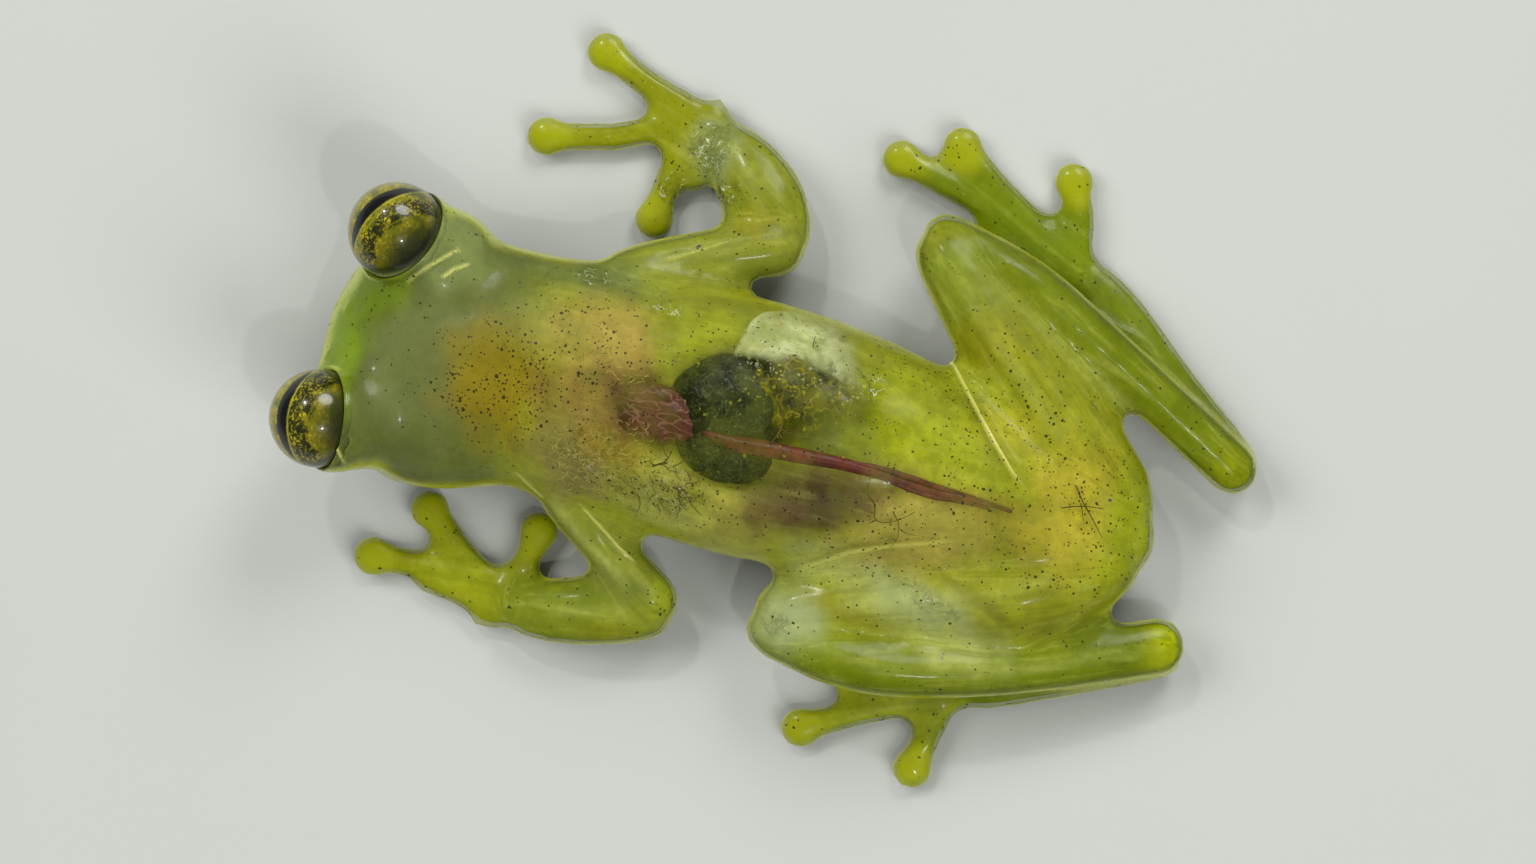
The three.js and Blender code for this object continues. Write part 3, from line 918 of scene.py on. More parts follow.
@dataclass(frozen=True)
class EyeFinish:
    """A wet eye: olive iris with a dark net, and a slit pupil beside a thin gold line."""

    name: str
    centre: Vector
    gaze: Vector
    radius: float
    band_rise: float
    band_width: float
    slit_half_width: float = 0.135
    slit_reach: float = 68.0
    iris_reach: float = 84.0
    iris_deep: Colour = srgb(78, 84, 4)
    iris_pale: Colour = srgb(164, 152, 14)
    iris_shade: Colour = srgb(40, 44, 4)
    net_colour: Colour = srgb(14, 14, 4)
    line_colour: Colour = srgb(150, 148, 40)
    pupil_colour: Colour = srgb(3, 3, 3)
    globe_deep: Colour = srgb(84, 94, 50)
    globe_pale: Colour = srgb(150, 160, 110)
    border_colour: Colour = srgb(16, 18, 4)

    def material(self) -> bpy.types.Material:
        """Returns the finish as a material."""
        wet = {"IOR": 1.36, "Coat Weight": 0.6, "Coat Roughness": 0.05, "Coat IOR": 1.4}
        material, graph, shader = new_material(self.name, wet)
        local = self.local_place(graph)
        side, front, rise = graph.add("ShaderNodeSeparateXYZ", {0: local}).outputs
        beyond = self.beyond_slit(graph, side, front, rise)
        ahead = graph.math("GREATER_THAN", front, 0.0)
        pupil = graph.times(graph.remap(beyond, 0.012, -0.012), ahead)
        inner = graph.times(ahead, graph.remap(rise, -0.02, 0.03))
        line = graph.times(graph.remap(graph.gap(beyond, 0.035), 0.028, 0.006), inner)
        cloud = graph.noise(local, 3.4, 2.0)
        strength = self.net_strength(graph, beyond, rise, cloud)
        net = graph.times(self.net(graph, local), strength, clamp=True)
        iris = graph.layers(
            graph.blend(graph.remap(cloud, 0.3, 0.7), self.iris_deep, self.iris_pale),
            (graph.remap(graph.math("ABSOLUTE", rise), 0.5, 0.95), self.iris_shade),
            (graph.times(net, 0.92), self.net_colour),
            (graph.times(line, graph.remap(cloud, 0.35, 0.6, 0.3, 0.8)), self.line_colour),
            (pupil, self.pupil_colour),
        )
        rim = math.cos(math.radians(self.iris_reach))
        border = graph.remap(graph.gap(front, rim), 0.22, 0.04)
        whole = graph.layers(
            graph.blend(cloud, self.globe_deep, self.globe_pale),
            (graph.remap(front, rim - 0.08, rim + 0.08), iris),
            (graph.times(border, 0.85), self.border_colour),
        )
        gloss = graph.remap(cloud, 0.3, 0.7, 0.2, 0.35)
        relief = graph.bumped(graph.minus(cloud, pupil), 0.15, 0.00005)
        graph.feed(shader, {"Base Color": whole, "Roughness": gloss, "Normal": relief})
        return material

    def local_place(self, graph: Graph) -> Socket:
        """Returns the place on the globe in globe radii: across, ahead and up from the gaze."""
        across = self.gaze.cross(Vector((0.0, 0.0, 1.0))).normalized()
        turn = Matrix((across, self.gaze, across.cross(self.gaze))).transposed().to_euler()
        inputs = {
            "Vector": graph.here(), "Location": self.centre, "Rotation": turn, "Scale": (self.radius,) * 3
        }
        return graph.add("ShaderNodeMapping", inputs, vector_type="TEXTURE").outputs[0]

    def beyond_slit(self, graph: Graph, side: Socket, front: Socket, rise: Socket) -> Socket:
        """Returns how far a place lies above or below the edge of the slit."""
        share = graph.math("DIVIDE", graph.math("ARCTAN2", side, front), math.radians(self.slit_reach))
        narrowing = graph.minus(1.0, graph.math("POWER", graph.math("ABSOLUTE", share), 2.0))
        return graph.minus(graph.math("ABSOLUTE", rise), graph.times(narrowing, self.slit_half_width))

    def net(self, graph: Graph, local: Socket) -> Socket:
        """Returns the fine dark net of the iris, before it is thinned out."""
        drawn = graph.stretched(local, (0.55, 1.0, 1.0))
        place = graph.blend(0.1, drawn, graph.noise(local, 6.0, 3.0, "Color"), "LINEAR_LIGHT")
        holes = {"Vector": place, "Scale": 13.0}
        cells = graph.add("ShaderNodeTexVoronoi", holes, feature="DISTANCE_TO_EDGE")
        lines = graph.remap(cells.outputs[0], 0.2, 0.04)
        return graph.most(lines, graph.remap(graph.noise(place, 12.0, 4.0), 0.44, 0.6))

    def net_strength(self, graph: Graph, beyond: Socket, rise: Socket, cloud: Socket) -> Socket:
        """Returns how dense the net is: most in a broken band beside the slit."""
        beside = graph.remap(beyond, 0.3, 0.06)
        wavy = graph.plus(rise, graph.remap(cloud, 0.3, 0.7, -0.07, 0.07))
        band = graph.remap(graph.gap(wavy, self.band_rise), self.band_width, self.band_width * 0.4)
        most = graph.most(graph.times(beside, 0.55), graph.times(band, 1.3))
        return graph.most(most, graph.remap(cloud, 0.4, 0.6, 0.15, 0.6))


@dataclass(frozen=True)
class FloorFinish:
    """A plain pale floor with a faint cloudiness."""

    colour: Colour = (0.42, 0.435, 0.405, 1.0)
    lightening: float = 1.04

    def material(self) -> bpy.types.Material:
        """Returns the finish as a material."""
        material, graph, shader = new_material("pale_floor", {"Roughness": 0.6})
        cloud = graph.noise(graph.here(), 60.0, 2.0)
        lighter = (*(min(1.0, band * self.lightening) for band in self.colour[:3]), 1.0)
        graph.feed(shader, {"Base Color": graph.blend(cloud, self.colour, lighter)})
        return material


# The body


def fused_copy(nodes: list[Piece], name: str, grow: float, cell: float) -> Piece:
    """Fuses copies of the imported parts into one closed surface.

    Args:
        nodes: The parts of flesh.
        name: The new object's name.
        grow: How far the copies are grown to bridge the gaps between parts, in millimetres.
        cell: The size of the surface's faces in millimetres.

    Returns:
        The fused surface, still grown.
    """
    whole = join([copy_of(node, f"{name}_{node.name}") for node in nodes], name)
    whole.data.materials.clear()
    merge_doubles(whole)
    shape_with(whole, "DISPLACE", strength=grow * MM, mid_level=0.0)
    shape_with(whole, "REMESH", mode="VOXEL", voxel_size=cell * MM)
    return keep_largest(whole)


@dataclass
class EyeSeat:
    """Where an eye sits: its globe, where its lids open and where it looks.

    Headings are degrees from straight ahead towards the frog's left, rises are degrees from level.
    """

    name: str
    lid_heading: float
    lid_rise: float
    look_heading: float
    look_rise: float
    band_rise: float
    band_width: float

    def __post_init__(self) -> None:
        """Reads the globe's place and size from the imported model."""
        low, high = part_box(self.name)
        self.centre = (low + high) / 2
        self.radius = max(high - low) / 2

    @staticmethod
    def towards(heading: float, rise: float) -> Vector:
        """Returns the direction with this heading and rise, in degrees."""
        out, up = math.radians(heading), math.radians(rise)
        return Vector((math.cos(up) * math.sin(out), -math.cos(up) * math.cos(out), math.sin(up)))

    def around(self, points: np.ndarray) -> tuple[np.ndarray, np.ndarray, np.ndarray]:
        """Looks at points from the middle of the globe.

        Args:
            points: The points in metres.

        Returns:
            For each point its offset and its distance from the middle, in millimetres, and the
            cosine of the angle between it and the opening of the lids.
        """
        offset = (points - np.array(self.centre)) / MM
        reach = np.maximum(np.linalg.norm(offset, axis=1), 1e-6)
        return offset, reach, offset @ np.array(self.towards(self.lid_heading, self.lid_rise)) / reach

    def gaze(self) -> Vector:
        """Returns the direction that the eye looks in."""
        return self.towards(self.look_heading, self.look_rise)


@dataclass
class BodySkin:
    """The one clear skin over the whole body, in millimetres and degrees.

    The rim and the pit of a nostril are given by their height or depth and their width. The lids
    reach from the first to the second of lid_reaches beyond the globe and blend into the head up
    to the third; round the globe they end between the two angles of lid_end. The fine_ fields say
    how near to the mouth, a nostril, an eye or a fold the faces are split.
    """

    nodes: list[Piece]
    finder: NodeFinder
    seats: list[EyeSeat]
    finish: SkinFinish
    grow: float = 0.2
    cell: float = 0.16
    even_rounds: int = 23
    fold_rounds: int = 40
    mouth_tip: Spot = (-15.3, 1.75)
    mouth_slope: float = 3.5
    mouth_corner: float = -11.3
    groove_depth: float = 0.22
    groove_width: float = 0.075
    lip_height: float = 0.07
    lip_offset: float = 0.27
    lip_width: float = 0.15
    nostrils: tuple[Point, ...] = ((1.587, -14.75, 3.12), (-0.087, -14.45, 3.12))
    nostril_radius: float = 0.26
    nostril_rim: Spot = (0.05, 0.1)
    nostril_pit: Spot = (0.2, 0.13)
    lid_gap: float = 0.035
    lid_rim: float = 0.1
    lid_reaches: Point = (0.3, 0.64, 1.5)
    lid_end: Spot = (85.0, 150.0)
    lid_cover: float = 0.04
    sparse_specks: float = 0.12
    folds: tuple[Course, ...] = ()
    fold_height: float = 0.07
    ridge_share: float = 1.7
    furrow_width: float = 3.0
    fine_mouth: float = 0.45
    fine_nostril: float = 0.6
    fine_eye: Spot = (2.6, -0.7)
    fine_fold: float = 0.2

    HIND_FILLING = (Patch(0.5, 9.0, 7.0, 6.0, 0.12, ripple=0.0),)

    def build(self) -> Piece:
        """Builds the skin without its finish, and returns it."""
        self.skin = fused_copy(self.nodes, "skin", self.grow, self.cell)
        self.even_out()
        self.refine()
        self.seat_lids()
        self.cut_mouth()
        self.cut_nostrils()
        self.raise_folds()
        shade_smooth(self.skin)
        return self.skin

    def even_out(self) -> None:
        """Rounds the facets, fills the creases where parts meet and takes the growth back."""
        points = points_of(self.skin)
        links = Links(self.skin)
        owners = self.finder.nearest(points)
        even = links.spread(self.finder.values(owners, "evenness"), 7)[:, None]
        fill = self.finder.values(owners, "filling")
        fill = links.spread(paint(fill, self.HIND_FILLING, LAYOUT.spots(points), np.zeros(len(points))), 7)
        for _ in range(self.even_rounds):
            points += 0.5 * even * (links.mean(points) - points)
        for step in range(self.fold_rounds):
            if step % 10 == 0:
                move_points(self.skin, points)
                normals = normals_of(self.skin)
            hollow = np.einsum("ij,ij->i", links.mean(points) - points, normals)
            points += (0.6 * fill * np.maximum(hollow, 0.0))[:, None] * normals
        move_points(self.skin, points)
        points -= self.grow * MM * normals_of(self.skin)
        for _ in range(2):
            points += 0.4 * (links.mean(points) - points)
        points[:, 2] = np.maximum(points[:, 2], 0.0)
        move_points(self.skin, points)

    def refine(self) -> None:
        """Splits the faces finer where the lids, the mouth, the nostrils and the folds go."""
        data = self.skin.data
        centres = rows_of(data.polygons, "center")
        spots = LAYOUT.spots(centres)
        near = (np.abs(self.above_mouth(spots)) < self.fine_mouth) & (spots[:, 1] < self.mouth_corner + 0.5)
        for nostril in self.nostrils:
            near |= np.linalg.norm(spots - np.array(nostril), axis=1) < self.fine_nostril
        for seat in self.seats:
            _, reach, facing = seat.around(centres)
            near |= (reach < self.fine_eye[0]) & (facing * reach > self.fine_eye[1])
        wide = tuple(Course(fold.spots, self.fine_fold) for fold in self.folds)
        near |= (draw_courses(wide, spots) > 0.3) & (spots[:, 2] > 0.8)
        activate(self.skin)
        bpy.ops.object.mode_set(mode="EDIT")
        bpy.ops.mesh.select_all(action="DESELECT")
        bpy.ops.object.mode_set(mode="OBJECT")
        data.polygons.foreach_set("select", near)
        bpy.ops.object.mode_set(mode="EDIT")
        bpy.ops.mesh.select_mode(type="FACE")
        bpy.ops.mesh.subdivide(number_cuts=1)
        bpy.ops.mesh.vertices_smooth(factor=0.5, repeat=2)
        bpy.ops.object.mode_set(mode="OBJECT")

    def seat_lids(self) -> None:
        """Draws the lids in until they hug each globe, with a thin rim."""
        points = points_of(self.skin)
        for seat in self.seats:
            globe = seat.radius / MM
            offset, reach, facing = seat.around(points)
            angle = np.degrees(np.arccos(np.clip(facing, -1.0, 1.0)))
            inner, outer, far = (globe + extra for extra in self.lid_reaches)
            hug = globe + self.lid_gap
            back = ease(angle, *self.lid_end)
            edge = hug + self.lid_rim + (outer - hug - self.lid_rim) * back
            wall = hug + (edge - hug) * np.clip((reach - inner) / (outer - inner), 0.0, 1.0)
            beyond = edge + (far - edge) * np.clip((reach - outer) / (far - outer), 0.0, 1.0)
            drawn = np.where(reach < outer, wall, beyond)
            drawn = np.where(reach < far, drawn, reach)
            points = np.array(seat.centre) + offset * (drawn / reach)[:, None] * MM
        move_points(self.skin, points)

    def above_mouth(self, spots: np.ndarray) -> np.ndarray:
        """Returns how far places lie above the line of the mouth."""
        drop = math.tan(math.radians(self.mouth_slope))
        return spots[:, 2] - self.mouth_tip[1] + drop * (spots[:, 1] - self.mouth_tip[0])

    def cut_mouth(self) -> None:
        """Presses the line of the mouth in between two low lips."""
        points, normals = points_of(self.skin), normals_of(self.skin)
        spots = LAYOUT.spots(points)
        level = self.above_mouth(spots)
        fade = ease(spots[:, 1], self.mouth_corner + 0.4, self.mouth_corner - 0.5)
        fade *= np.abs(normals[:, 2]) < 0.85
        lips = self.lip_height * bell(np.abs(level) - self.lip_offset, self.lip_width)
        push = fade * (lips - self.groove_depth * bell(level, self.groove_width))
        flat = normals * np.array([1.0, 1.0, 0.0])
        move_points(self.skin, points + (push * MM)[:, None] * flat)

    def cut_nostrils(self) -> None:
        """Raises a rim round each nostril and presses the nostril in."""
        points, normals = points_of(self.skin), normals_of(self.skin)
        spots = LAYOUT.spots(points)
        (height, width), (depth, reach) = self.nostril_rim, self.nostril_pit
        for nostril in self.nostrils:
            away = np.linalg.norm(spots - np.array(nostril), axis=1)
            push = height * bell(away - self.nostril_radius, width) - depth * bell(away, reach)
            points += (push * MM)[:, None] * normals
        move_points(self.skin, points)

    def raise_folds(self) -> None:
        """Raises the folds on the upper side of the skin, with a furrow beside, and keeps where their ridges
        are, where the skin's finish paints a pale highlight line.
        """
        points, normals = points_of(self.skin), normals_of(self.skin)
        spots = LAYOUT.spots(points)
        upper = ease(normals[:, 2], -0.1, 0.3)
        ridge = draw_courses(self.folds, spots) * upper
        wide = tuple(Course(fold.spots, fold.width * self.furrow_width, fold.strength) for fold in self.folds)
        furrow = draw_courses(wide, spots) * upper
        points += (self.fold_height * MM * (self.ridge_share * ridge - furrow))[:, None] * normals
        move_points(self.skin, points)
        keep(self.skin, "folds", np.clip(ridge, 0.0, 1.0))

    def clearness_at_eyes(self, points: np.ndarray) -> np.ndarray:
        """Returns 1 on the clear lids in front of each globe, and 0 away from them."""
        clear = np.zeros(len(points))
        for seat in self.seats:
            _, reach, facing = seat.around(points)
            near = ease(reach, seat.radius / MM + 0.7, seat.radius / MM + 0.25)
            clear = np.maximum(clear, near * ease(facing, -0.3, 0.2))
        return clear

    def paint(self, patches: "Markings") -> None:
        """Writes the tint, the cover, the specks and the wrinkles, along which glints are painted, onto the
        skin, and dresses it.
        """
        points = points_of(self.skin)
        links = Links(self.skin)
        spots = LAYOUT.spots(points)
        owners = self.finder.nearest(points)
        paws = self.finder.paws(owners, links)
        none = np.zeros(len(points))
        tint = links.spread(self.finder.values(owners, "skin_tint"), 14)
        keep(self.skin, "tint", paint(tint, patches.skin_tints, spots, paws), Kept.COLOUR)
        cover = paint(links.spread(self.finder.values(owners, "cover"), 14), patches.covers, spots, paws)
        keep(self.skin, "cover", cover + self.clearness_at_eyes(points) * (self.lid_cover - cover))
        keep(self.skin, "specks", paint(none + self.sparse_specks, patches.specks, spots, paws))
        keep(self.skin, "flecks", paint(none, patches.flecks, spots, paws))
        keep(self.skin, "wrinkles", paint(none, patches.wrinkles, spots, paws))
        dress(self.skin, self.finish.material())


@dataclass
class FleshCore:
    """The flesh under the skin: the skin's shape again, drawn in, with a dish for the organs."""

    finder: NodeFinder
    seats: list[EyeSeat]
    finish: FleshFinish
    cell: float = 0.17
    socket: float = 0.14
    even_rounds: int = 12
    dish_middle: Spot = (0.45, -0.2)
    dish_half: Spot = (2.7, 5.2)
    dish_depth: float = 0.95
    snout_clear: float = 0.3
    snout: Spot = (-12.6, -14.2)
    side_share: float = 0.25
    thickness_share: float = 0.36

    def build(self, skin: Piece) -> Piece:
        """Builds the flesh inside the skin.

        Args:
            skin: The finished shape of the skin.

        Returns:
            The flesh, without its finish.
        """
        self.core = copy_of(skin, "flesh")
        shape_with(self.core, "REMESH", mode="VOXEL", voxel_size=self.cell * MM)
        for seat in self.seats:
            self.open_socket(seat)
        self.core = keep_largest(self.core)
        self.draw_in()
        shade_smooth(self.core)
        return self.core

    def open_socket(self, seat: EyeSeat) -> None:
        """Takes the flesh away round an eye, so that only clear skin holds the globe."""
        ball = add_piece(
            "socket", bpy.ops.mesh.primitive_uv_sphere_add,
            segments=48, ring_count=24, radius=seat.radius + self.socket * MM, location=seat.centre,
        )
        shape_with(self.core, "BOOLEAN", operation="DIFFERENCE", object=ball, solver="EXACT")
        bpy.data.objects.remove(ball)

    def draw_in(self) -> None:
        """Draws the surface in under the skin and presses the dish into the belly."""
        points, normals = points_of(self.core), normals_of(self.core)
        links = Links(self.core)
        owners = self.finder.nearest(points)
        spots = LAYOUT.spots(points)
        inset = self.finder.values(owners, "inset") + self.snout_clear * ease(spots[:, 1], *self.snout)
        inset *= self.side_share + (1.0 - self.side_share) * ease(np.abs(normals[:, 2]), 0.15, 0.7)
        inset = np.minimum(links.spread(inset, 4), self.thickness_share * self.thickness(points, normals))
        normals = links.spread(normals, 3)
        points -= (links.spread(inset, 4) * MM)[:, None] * normals
        for _ in range(self.even_rounds):
            points += 0.35 * (links.mean(points) - points)
        offset = (spots[:, :2] - np.array(self.dish_middle)) / np.array(self.dish_half)
        reach = np.hypot(offset[:, 0], offset[:, 1])
        upper = ease(normals[:, 2], 0.2, 0.6)
        points[:, 2] -= self.dish_depth * MM * ease(reach, 1.15, 0.6) * upper
        move_points(self.core, points)

    def thickness(self, points: np.ndarray, normals: np.ndarray) -> np.ndarray:
        """Returns how thick the body is under each point, in millimetres."""
        tree = BVHTree.FromPolygons(*polygons_of(self.core))
        most = 4.0
        found = np.full(len(points), most)
        for number, (point, normal) in enumerate(zip(points, normals)):
            away = Vector(normal)
            distance = tree.ray_cast(Vector(point) - away * 0.02 * MM, -away, most * MM)[3]
            if distance is not None:
                found[number] = distance / MM
        return found

    def paint(self, patches: tuple[Patch, ...], bones: tuple[Course, ...]) -> None:
        """Writes the tint, the streaks and the faint bones onto the flesh, and dresses it."""
        points = points_of(self.core)
        links = Links(self.core)
        spots = LAYOUT.spots(points)
        owners = self.finder.nearest(points)
        tint = links.spread(self.finder.values(owners, "flesh_tint"), 20)
        tint = paint(tint, patches, spots, self.finder.paws(owners, links))
        keep(self.core, "tint", tint, Kept.COLOUR)
        keep(self.core, "bones", draw_courses(bones, spots))
        keep(self.core, "streaks", links.spread(self.finder.values(owners, "streaks"), 12))
        keep(self.core, "grain", links.spread(self.finder.grain(owners, points), 6), Kept.VECTOR)
        dress(self.core, self.finish.material())


@dataclass(frozen=True)
class Markings:
    """The patches of colour, clearness and specks over the body, in layout millimetres. Some skin tints are
    painted sheen.
    """

    flesh_tints: tuple[Patch, ...]
    skin_tints: tuple[Patch, ...]
    covers: tuple[Patch, ...]
    specks: tuple[Patch, ...]
    flecks: tuple[Patch, ...]
    wrinkles: tuple[Patch, ...]


# Organs, vessels and bones


def roughen(obj: Piece, size: float, height: float) -> None:
    """Gives a mass lumps of this size and height, in millimetres."""
    lumps = bpy.data.textures.new(f"{obj.name}_lumps", "CLOUDS")
    lumps.noise_scale = size * MM
    lumps.noise_depth = 2
    shape_with(obj, "DISPLACE", texture=lumps, texture_coords="LOCAL", strength=height * MM, mid_level=0.5)


def strands(name: str, runs: list[Run], sides: int = 2) -> Piece:
    """Makes round strands along smooth lines.

    Args:
        name: The piece's name.
        runs: For each strand its points, as places of the layout with the radius there.
        sides: How finely the strands are rounded.

    Returns:
        All strands as one mesh.
    """
    piece = add_piece(name, bpy.ops.curve.primitive_bezier_curve_add)
    curve = piece.data
    curve.splines.clear()
    for run in runs:
        spline = curve.splines.new("BEZIER")
        spline.bezier_points.add(len(run) - 1)
        for knot, (x, y, z, radius) in zip(spline.bezier_points, run):
            knot.co = LAYOUT.place(x, y, z)
            knot.handle_left_type = knot.handle_right_type = "AUTO"
            knot.radius = radius
        spline.resolution_u = 5
    curve.dimensions = "3D"
    curve.bevel_depth = MM
    curve.bevel_resolution = sides
    curve.use_fill_caps = True
    bpy.ops.object.convert(target="MESH")
    piece = bpy.context.object
    merge_doubles(piece, outwards=True)
    shade_smooth(piece)
    return piece


@dataclass(frozen=True)
class Mass:
    """A rounded mass: its middle, how deep its top lies, its radii and its turn in degrees."""

    x: float
    y: float
    depth: float
    radii: Point
    turn: float = 0.0

    def build(self, name: str, surface: Surface) -> Piece:
        """Returns the mass as a fine closed mesh."""
        middle = surface.under(self.x, self.y, self.depth + self.radii[2])
        ball = add_piece(
            name, bpy.ops.mesh.primitive_uv_sphere_add, segments=72, ring_count=48, radius=MM,
            location=LAYOUT.place(*middle), rotation=(0.0, 0.0, math.radians(self.turn)), scale=self.radii,
        )
        bpy.ops.object.transform_apply(location=True, rotation=True, scale=True)
        return ball


@dataclass(frozen=True)
class Organ:
    """A lumpy organ: its masses, the cell they are fused with, its lumps, its fading and its finish."""

    name: str
    masses: tuple[Mass, ...]
    cell: float
    lumps: tuple[Spot, ...]
    fade: Patch
    finish: OrganFinish

    def build(self, surface: Surface) -> Piece:
        """Returns the organ with its finish."""
        parts = [mass.build(f"{self.name}_{number}", surface) for number, mass in enumerate(self.masses)]
        organ = join(parts, self.name)
        shape_with(organ, "REMESH", mode="VOXEL", voxel_size=self.cell * MM)
        shape_with(organ, "SMOOTH", factor=0.5, iterations=6)
        for size, height in self.lumps:
            roughen(organ, size, height)
        shade_smooth(organ)
        keep(organ, "fade", self.fade.weights(LAYOUT.spots(points_of(organ))))
        dress(organ, self.finish.material())
        return organ


@dataclass
class Lining:
    """The silvery lining beside the gut, a thin curved sheet under the skin."""

    surface: Surface
    depth: float = 0.12
    dip: float = 0.25
    density: float = 0.68
    thickness: float = 0.06
    rows: tuple[Path, ...] = (
        ((-1.1, -2.1), (-1.3, 0.05), (-1.1, 2.1), (-1.1, 3.5)),
        ((-2.1, -2.12), (-2.4, -0.1), (-2.2, 1.7), (-1.9, 3.45)),
        ((-2.85, -1.75), (-3.2, -0.4), (-3.05, 1.4), (-2.5, 3.2)),
        ((-3.15, -1.3), (-3.75, -0.4), (-3.65, 1.2), (-3.0, 2.75)),
    )
    finish: OrganFinish = OrganFinish(
        "silver_lining", srgb(158, 166, 98), srgb(198, 204, 152), srgb(150, 146, 40), flecks=0.25,
        line_strength=0.3, scale=900.0, line_scale=2600.0, stretch=(1.0, 0.3, 1.0), bump=0.25, raggedness=0.1,
    )

    def build(self) -> Piece:
        """Returns the lining with its finish."""
        sheet = add_piece(
            "lining", bpy.ops.mesh.primitive_grid_add, x_subdivisions=60, y_subdivisions=80, size=2.0
        )
        rows = np.array(self.rows)
        points = points_of(sheet)
        fade = np.zeros(len(points))
        for number, (u, v, _) in enumerate(points):
            across, along = (u + 1) / 2, (v + 1) / 2
            x, y = self.curve_weights(across) @ np.tensordot(self.curve_weights(along), rows, axes=(0, 1))
            ripple = 0.02 * math.sin(5.0 * y + 1.5 * x) + 0.015 * math.sin(9.0 * x)
            depth = self.depth + ripple + self.dip * (1.0 - across)
            points[number] = LAYOUT.place(*self.surface.under(x, y, depth))
            ends = min(ease(along, 0.0, 0.06), ease(along, 1.0, 0.35))
            fade[number] = min(ends, ease(across, 0.0, 0.3), ease(across, 1.0, 0.9))
        move_points(sheet, points)
        keep(sheet, "fade", self.density * fade)
        shape_with(sheet, "SOLIDIFY", thickness=self.thickness * MM, offset=0.0)
        merge_doubles(sheet, outwards=True)
        shade_smooth(sheet)
        dress(sheet, self.finish.material())
        return sheet

    @staticmethod
    def curve_weights(share: float) -> np.ndarray:
        """Returns the shares of four points in a smooth curve from the first to the last."""
        rest = 1.0 - share
        return np.array([rest ** 3, 3 * rest ** 2 * share, 3 * rest * share ** 2, share ** 3])


@dataclass
class MainVein:
    """The red vein along the belly, which frays into strands: spots of each with the radius there."""

    surface: Surface
    depth: float = 0.12
    courses: tuple[tuple[Point, ...], ...] = (
        (
            (1.12, -2.3, 0.05), (1.2, -1.6, 0.18), (1.24, -0.9, 0.27), (1.17, -0.1, 0.28), (1.14, 1.0, 0.26),
            (1.08, 2.2, 0.22), (1.11, 3.4, 0.18), (1.2, 4.5, 0.14), (1.28, 5.7, 0.13), (1.22, 6.9, 0.11),
            (1.3, 8.2, 0.06),
        ),
        ((0.98, 2.4, 0.05), (0.92, 3.6, 0.09), (1.0, 4.7, 0.1), (1.1, 5.8, 0.08), (1.14, 6.9, 0.05)),
        ((1.2, 3.6, 0.04), (1.34, 4.5, 0.08), (1.42, 5.5, 0.1), (1.36, 6.5, 0.08), (1.4, 7.5, 0.05)),
    )

    def build(self) -> Piece:
        """Returns the vein with its finish."""
        runs = []
        for course in self.courses:
            runs.append([(*self.surface.under(x, y, self.depth + r * 0.8), r) for x, y, r in course])
        vein = strands("vein", runs, 4)
        roughen(vein, 0.4, 0.05)
        shade_smooth(vein)
        dress(vein, StrandFinish("red_vein", srgb(56, 6, 12), srgb(96, 34, 28)).material())
        return vein


def step_on(x: float, y: float, heading: float, step: float) -> Spot:
    """Returns the spot one step on from another, with the heading in degrees."""
    angle = math.radians(heading)
    return x + step * math.cos(angle), y + step * math.sin(angle)


@dataclass(frozen=True)
class Sprig:
    """A fine vessel that branches as it wanders: where it starts, its heading and its size."""

    x: float
    y: float
    heading: float
    length: float
    radius: float


@dataclass(frozen=True)
class Scatter:
    """Short curly lines scattered over an oval patch, just under the skin."""

    middle: Spot
    half: Spot
    count: int
    thinnest: float = 0.007
    thickest: float = 0.013
    heading: float | None = None
    bend: float = 40.0
    depth: float = 0.16
    step: float = 0.06
    tremble: float = 18.0
    spread: float = 12.0

    def runs(self, surface: Surface, draw: random.Random) -> list[Run]:
        """Returns the lines, each as its points with the radius there."""
        return [self.line(surface, draw) for _ in range(self.count)]

    def line(self, surface: Surface, draw: random.Random) -> Run:
        """Returns one line."""
        angle, reach = draw.uniform(0.0, 2.0 * math.pi), math.sqrt(draw.random())
        x = self.middle[0] + reach * math.cos(angle) * self.half[0]
        y = self.middle[1] + reach * math.sin(angle) * self.half[1]
        if self.heading is None:
            heading = draw.uniform(0.0, 360.0)
        else:
            heading = self.heading + draw.gauss(0.0, self.spread)
        bend, radius = draw.uniform(-self.bend, self.bend), draw.uniform(self.thinnest, self.thickest)
        count, run = draw.randint(4, 6), []
        for number in range(count):
            slim = 1.0 - 0.6 * abs(2.0 * number / (count - 1) - 1.0)
            run.append((*surface.under(x, y, self.depth), radius * slim))
            heading += bend + draw.gauss(0.0, self.tremble)
            x, y = step_on(x, y, heading, self.step)
        return run


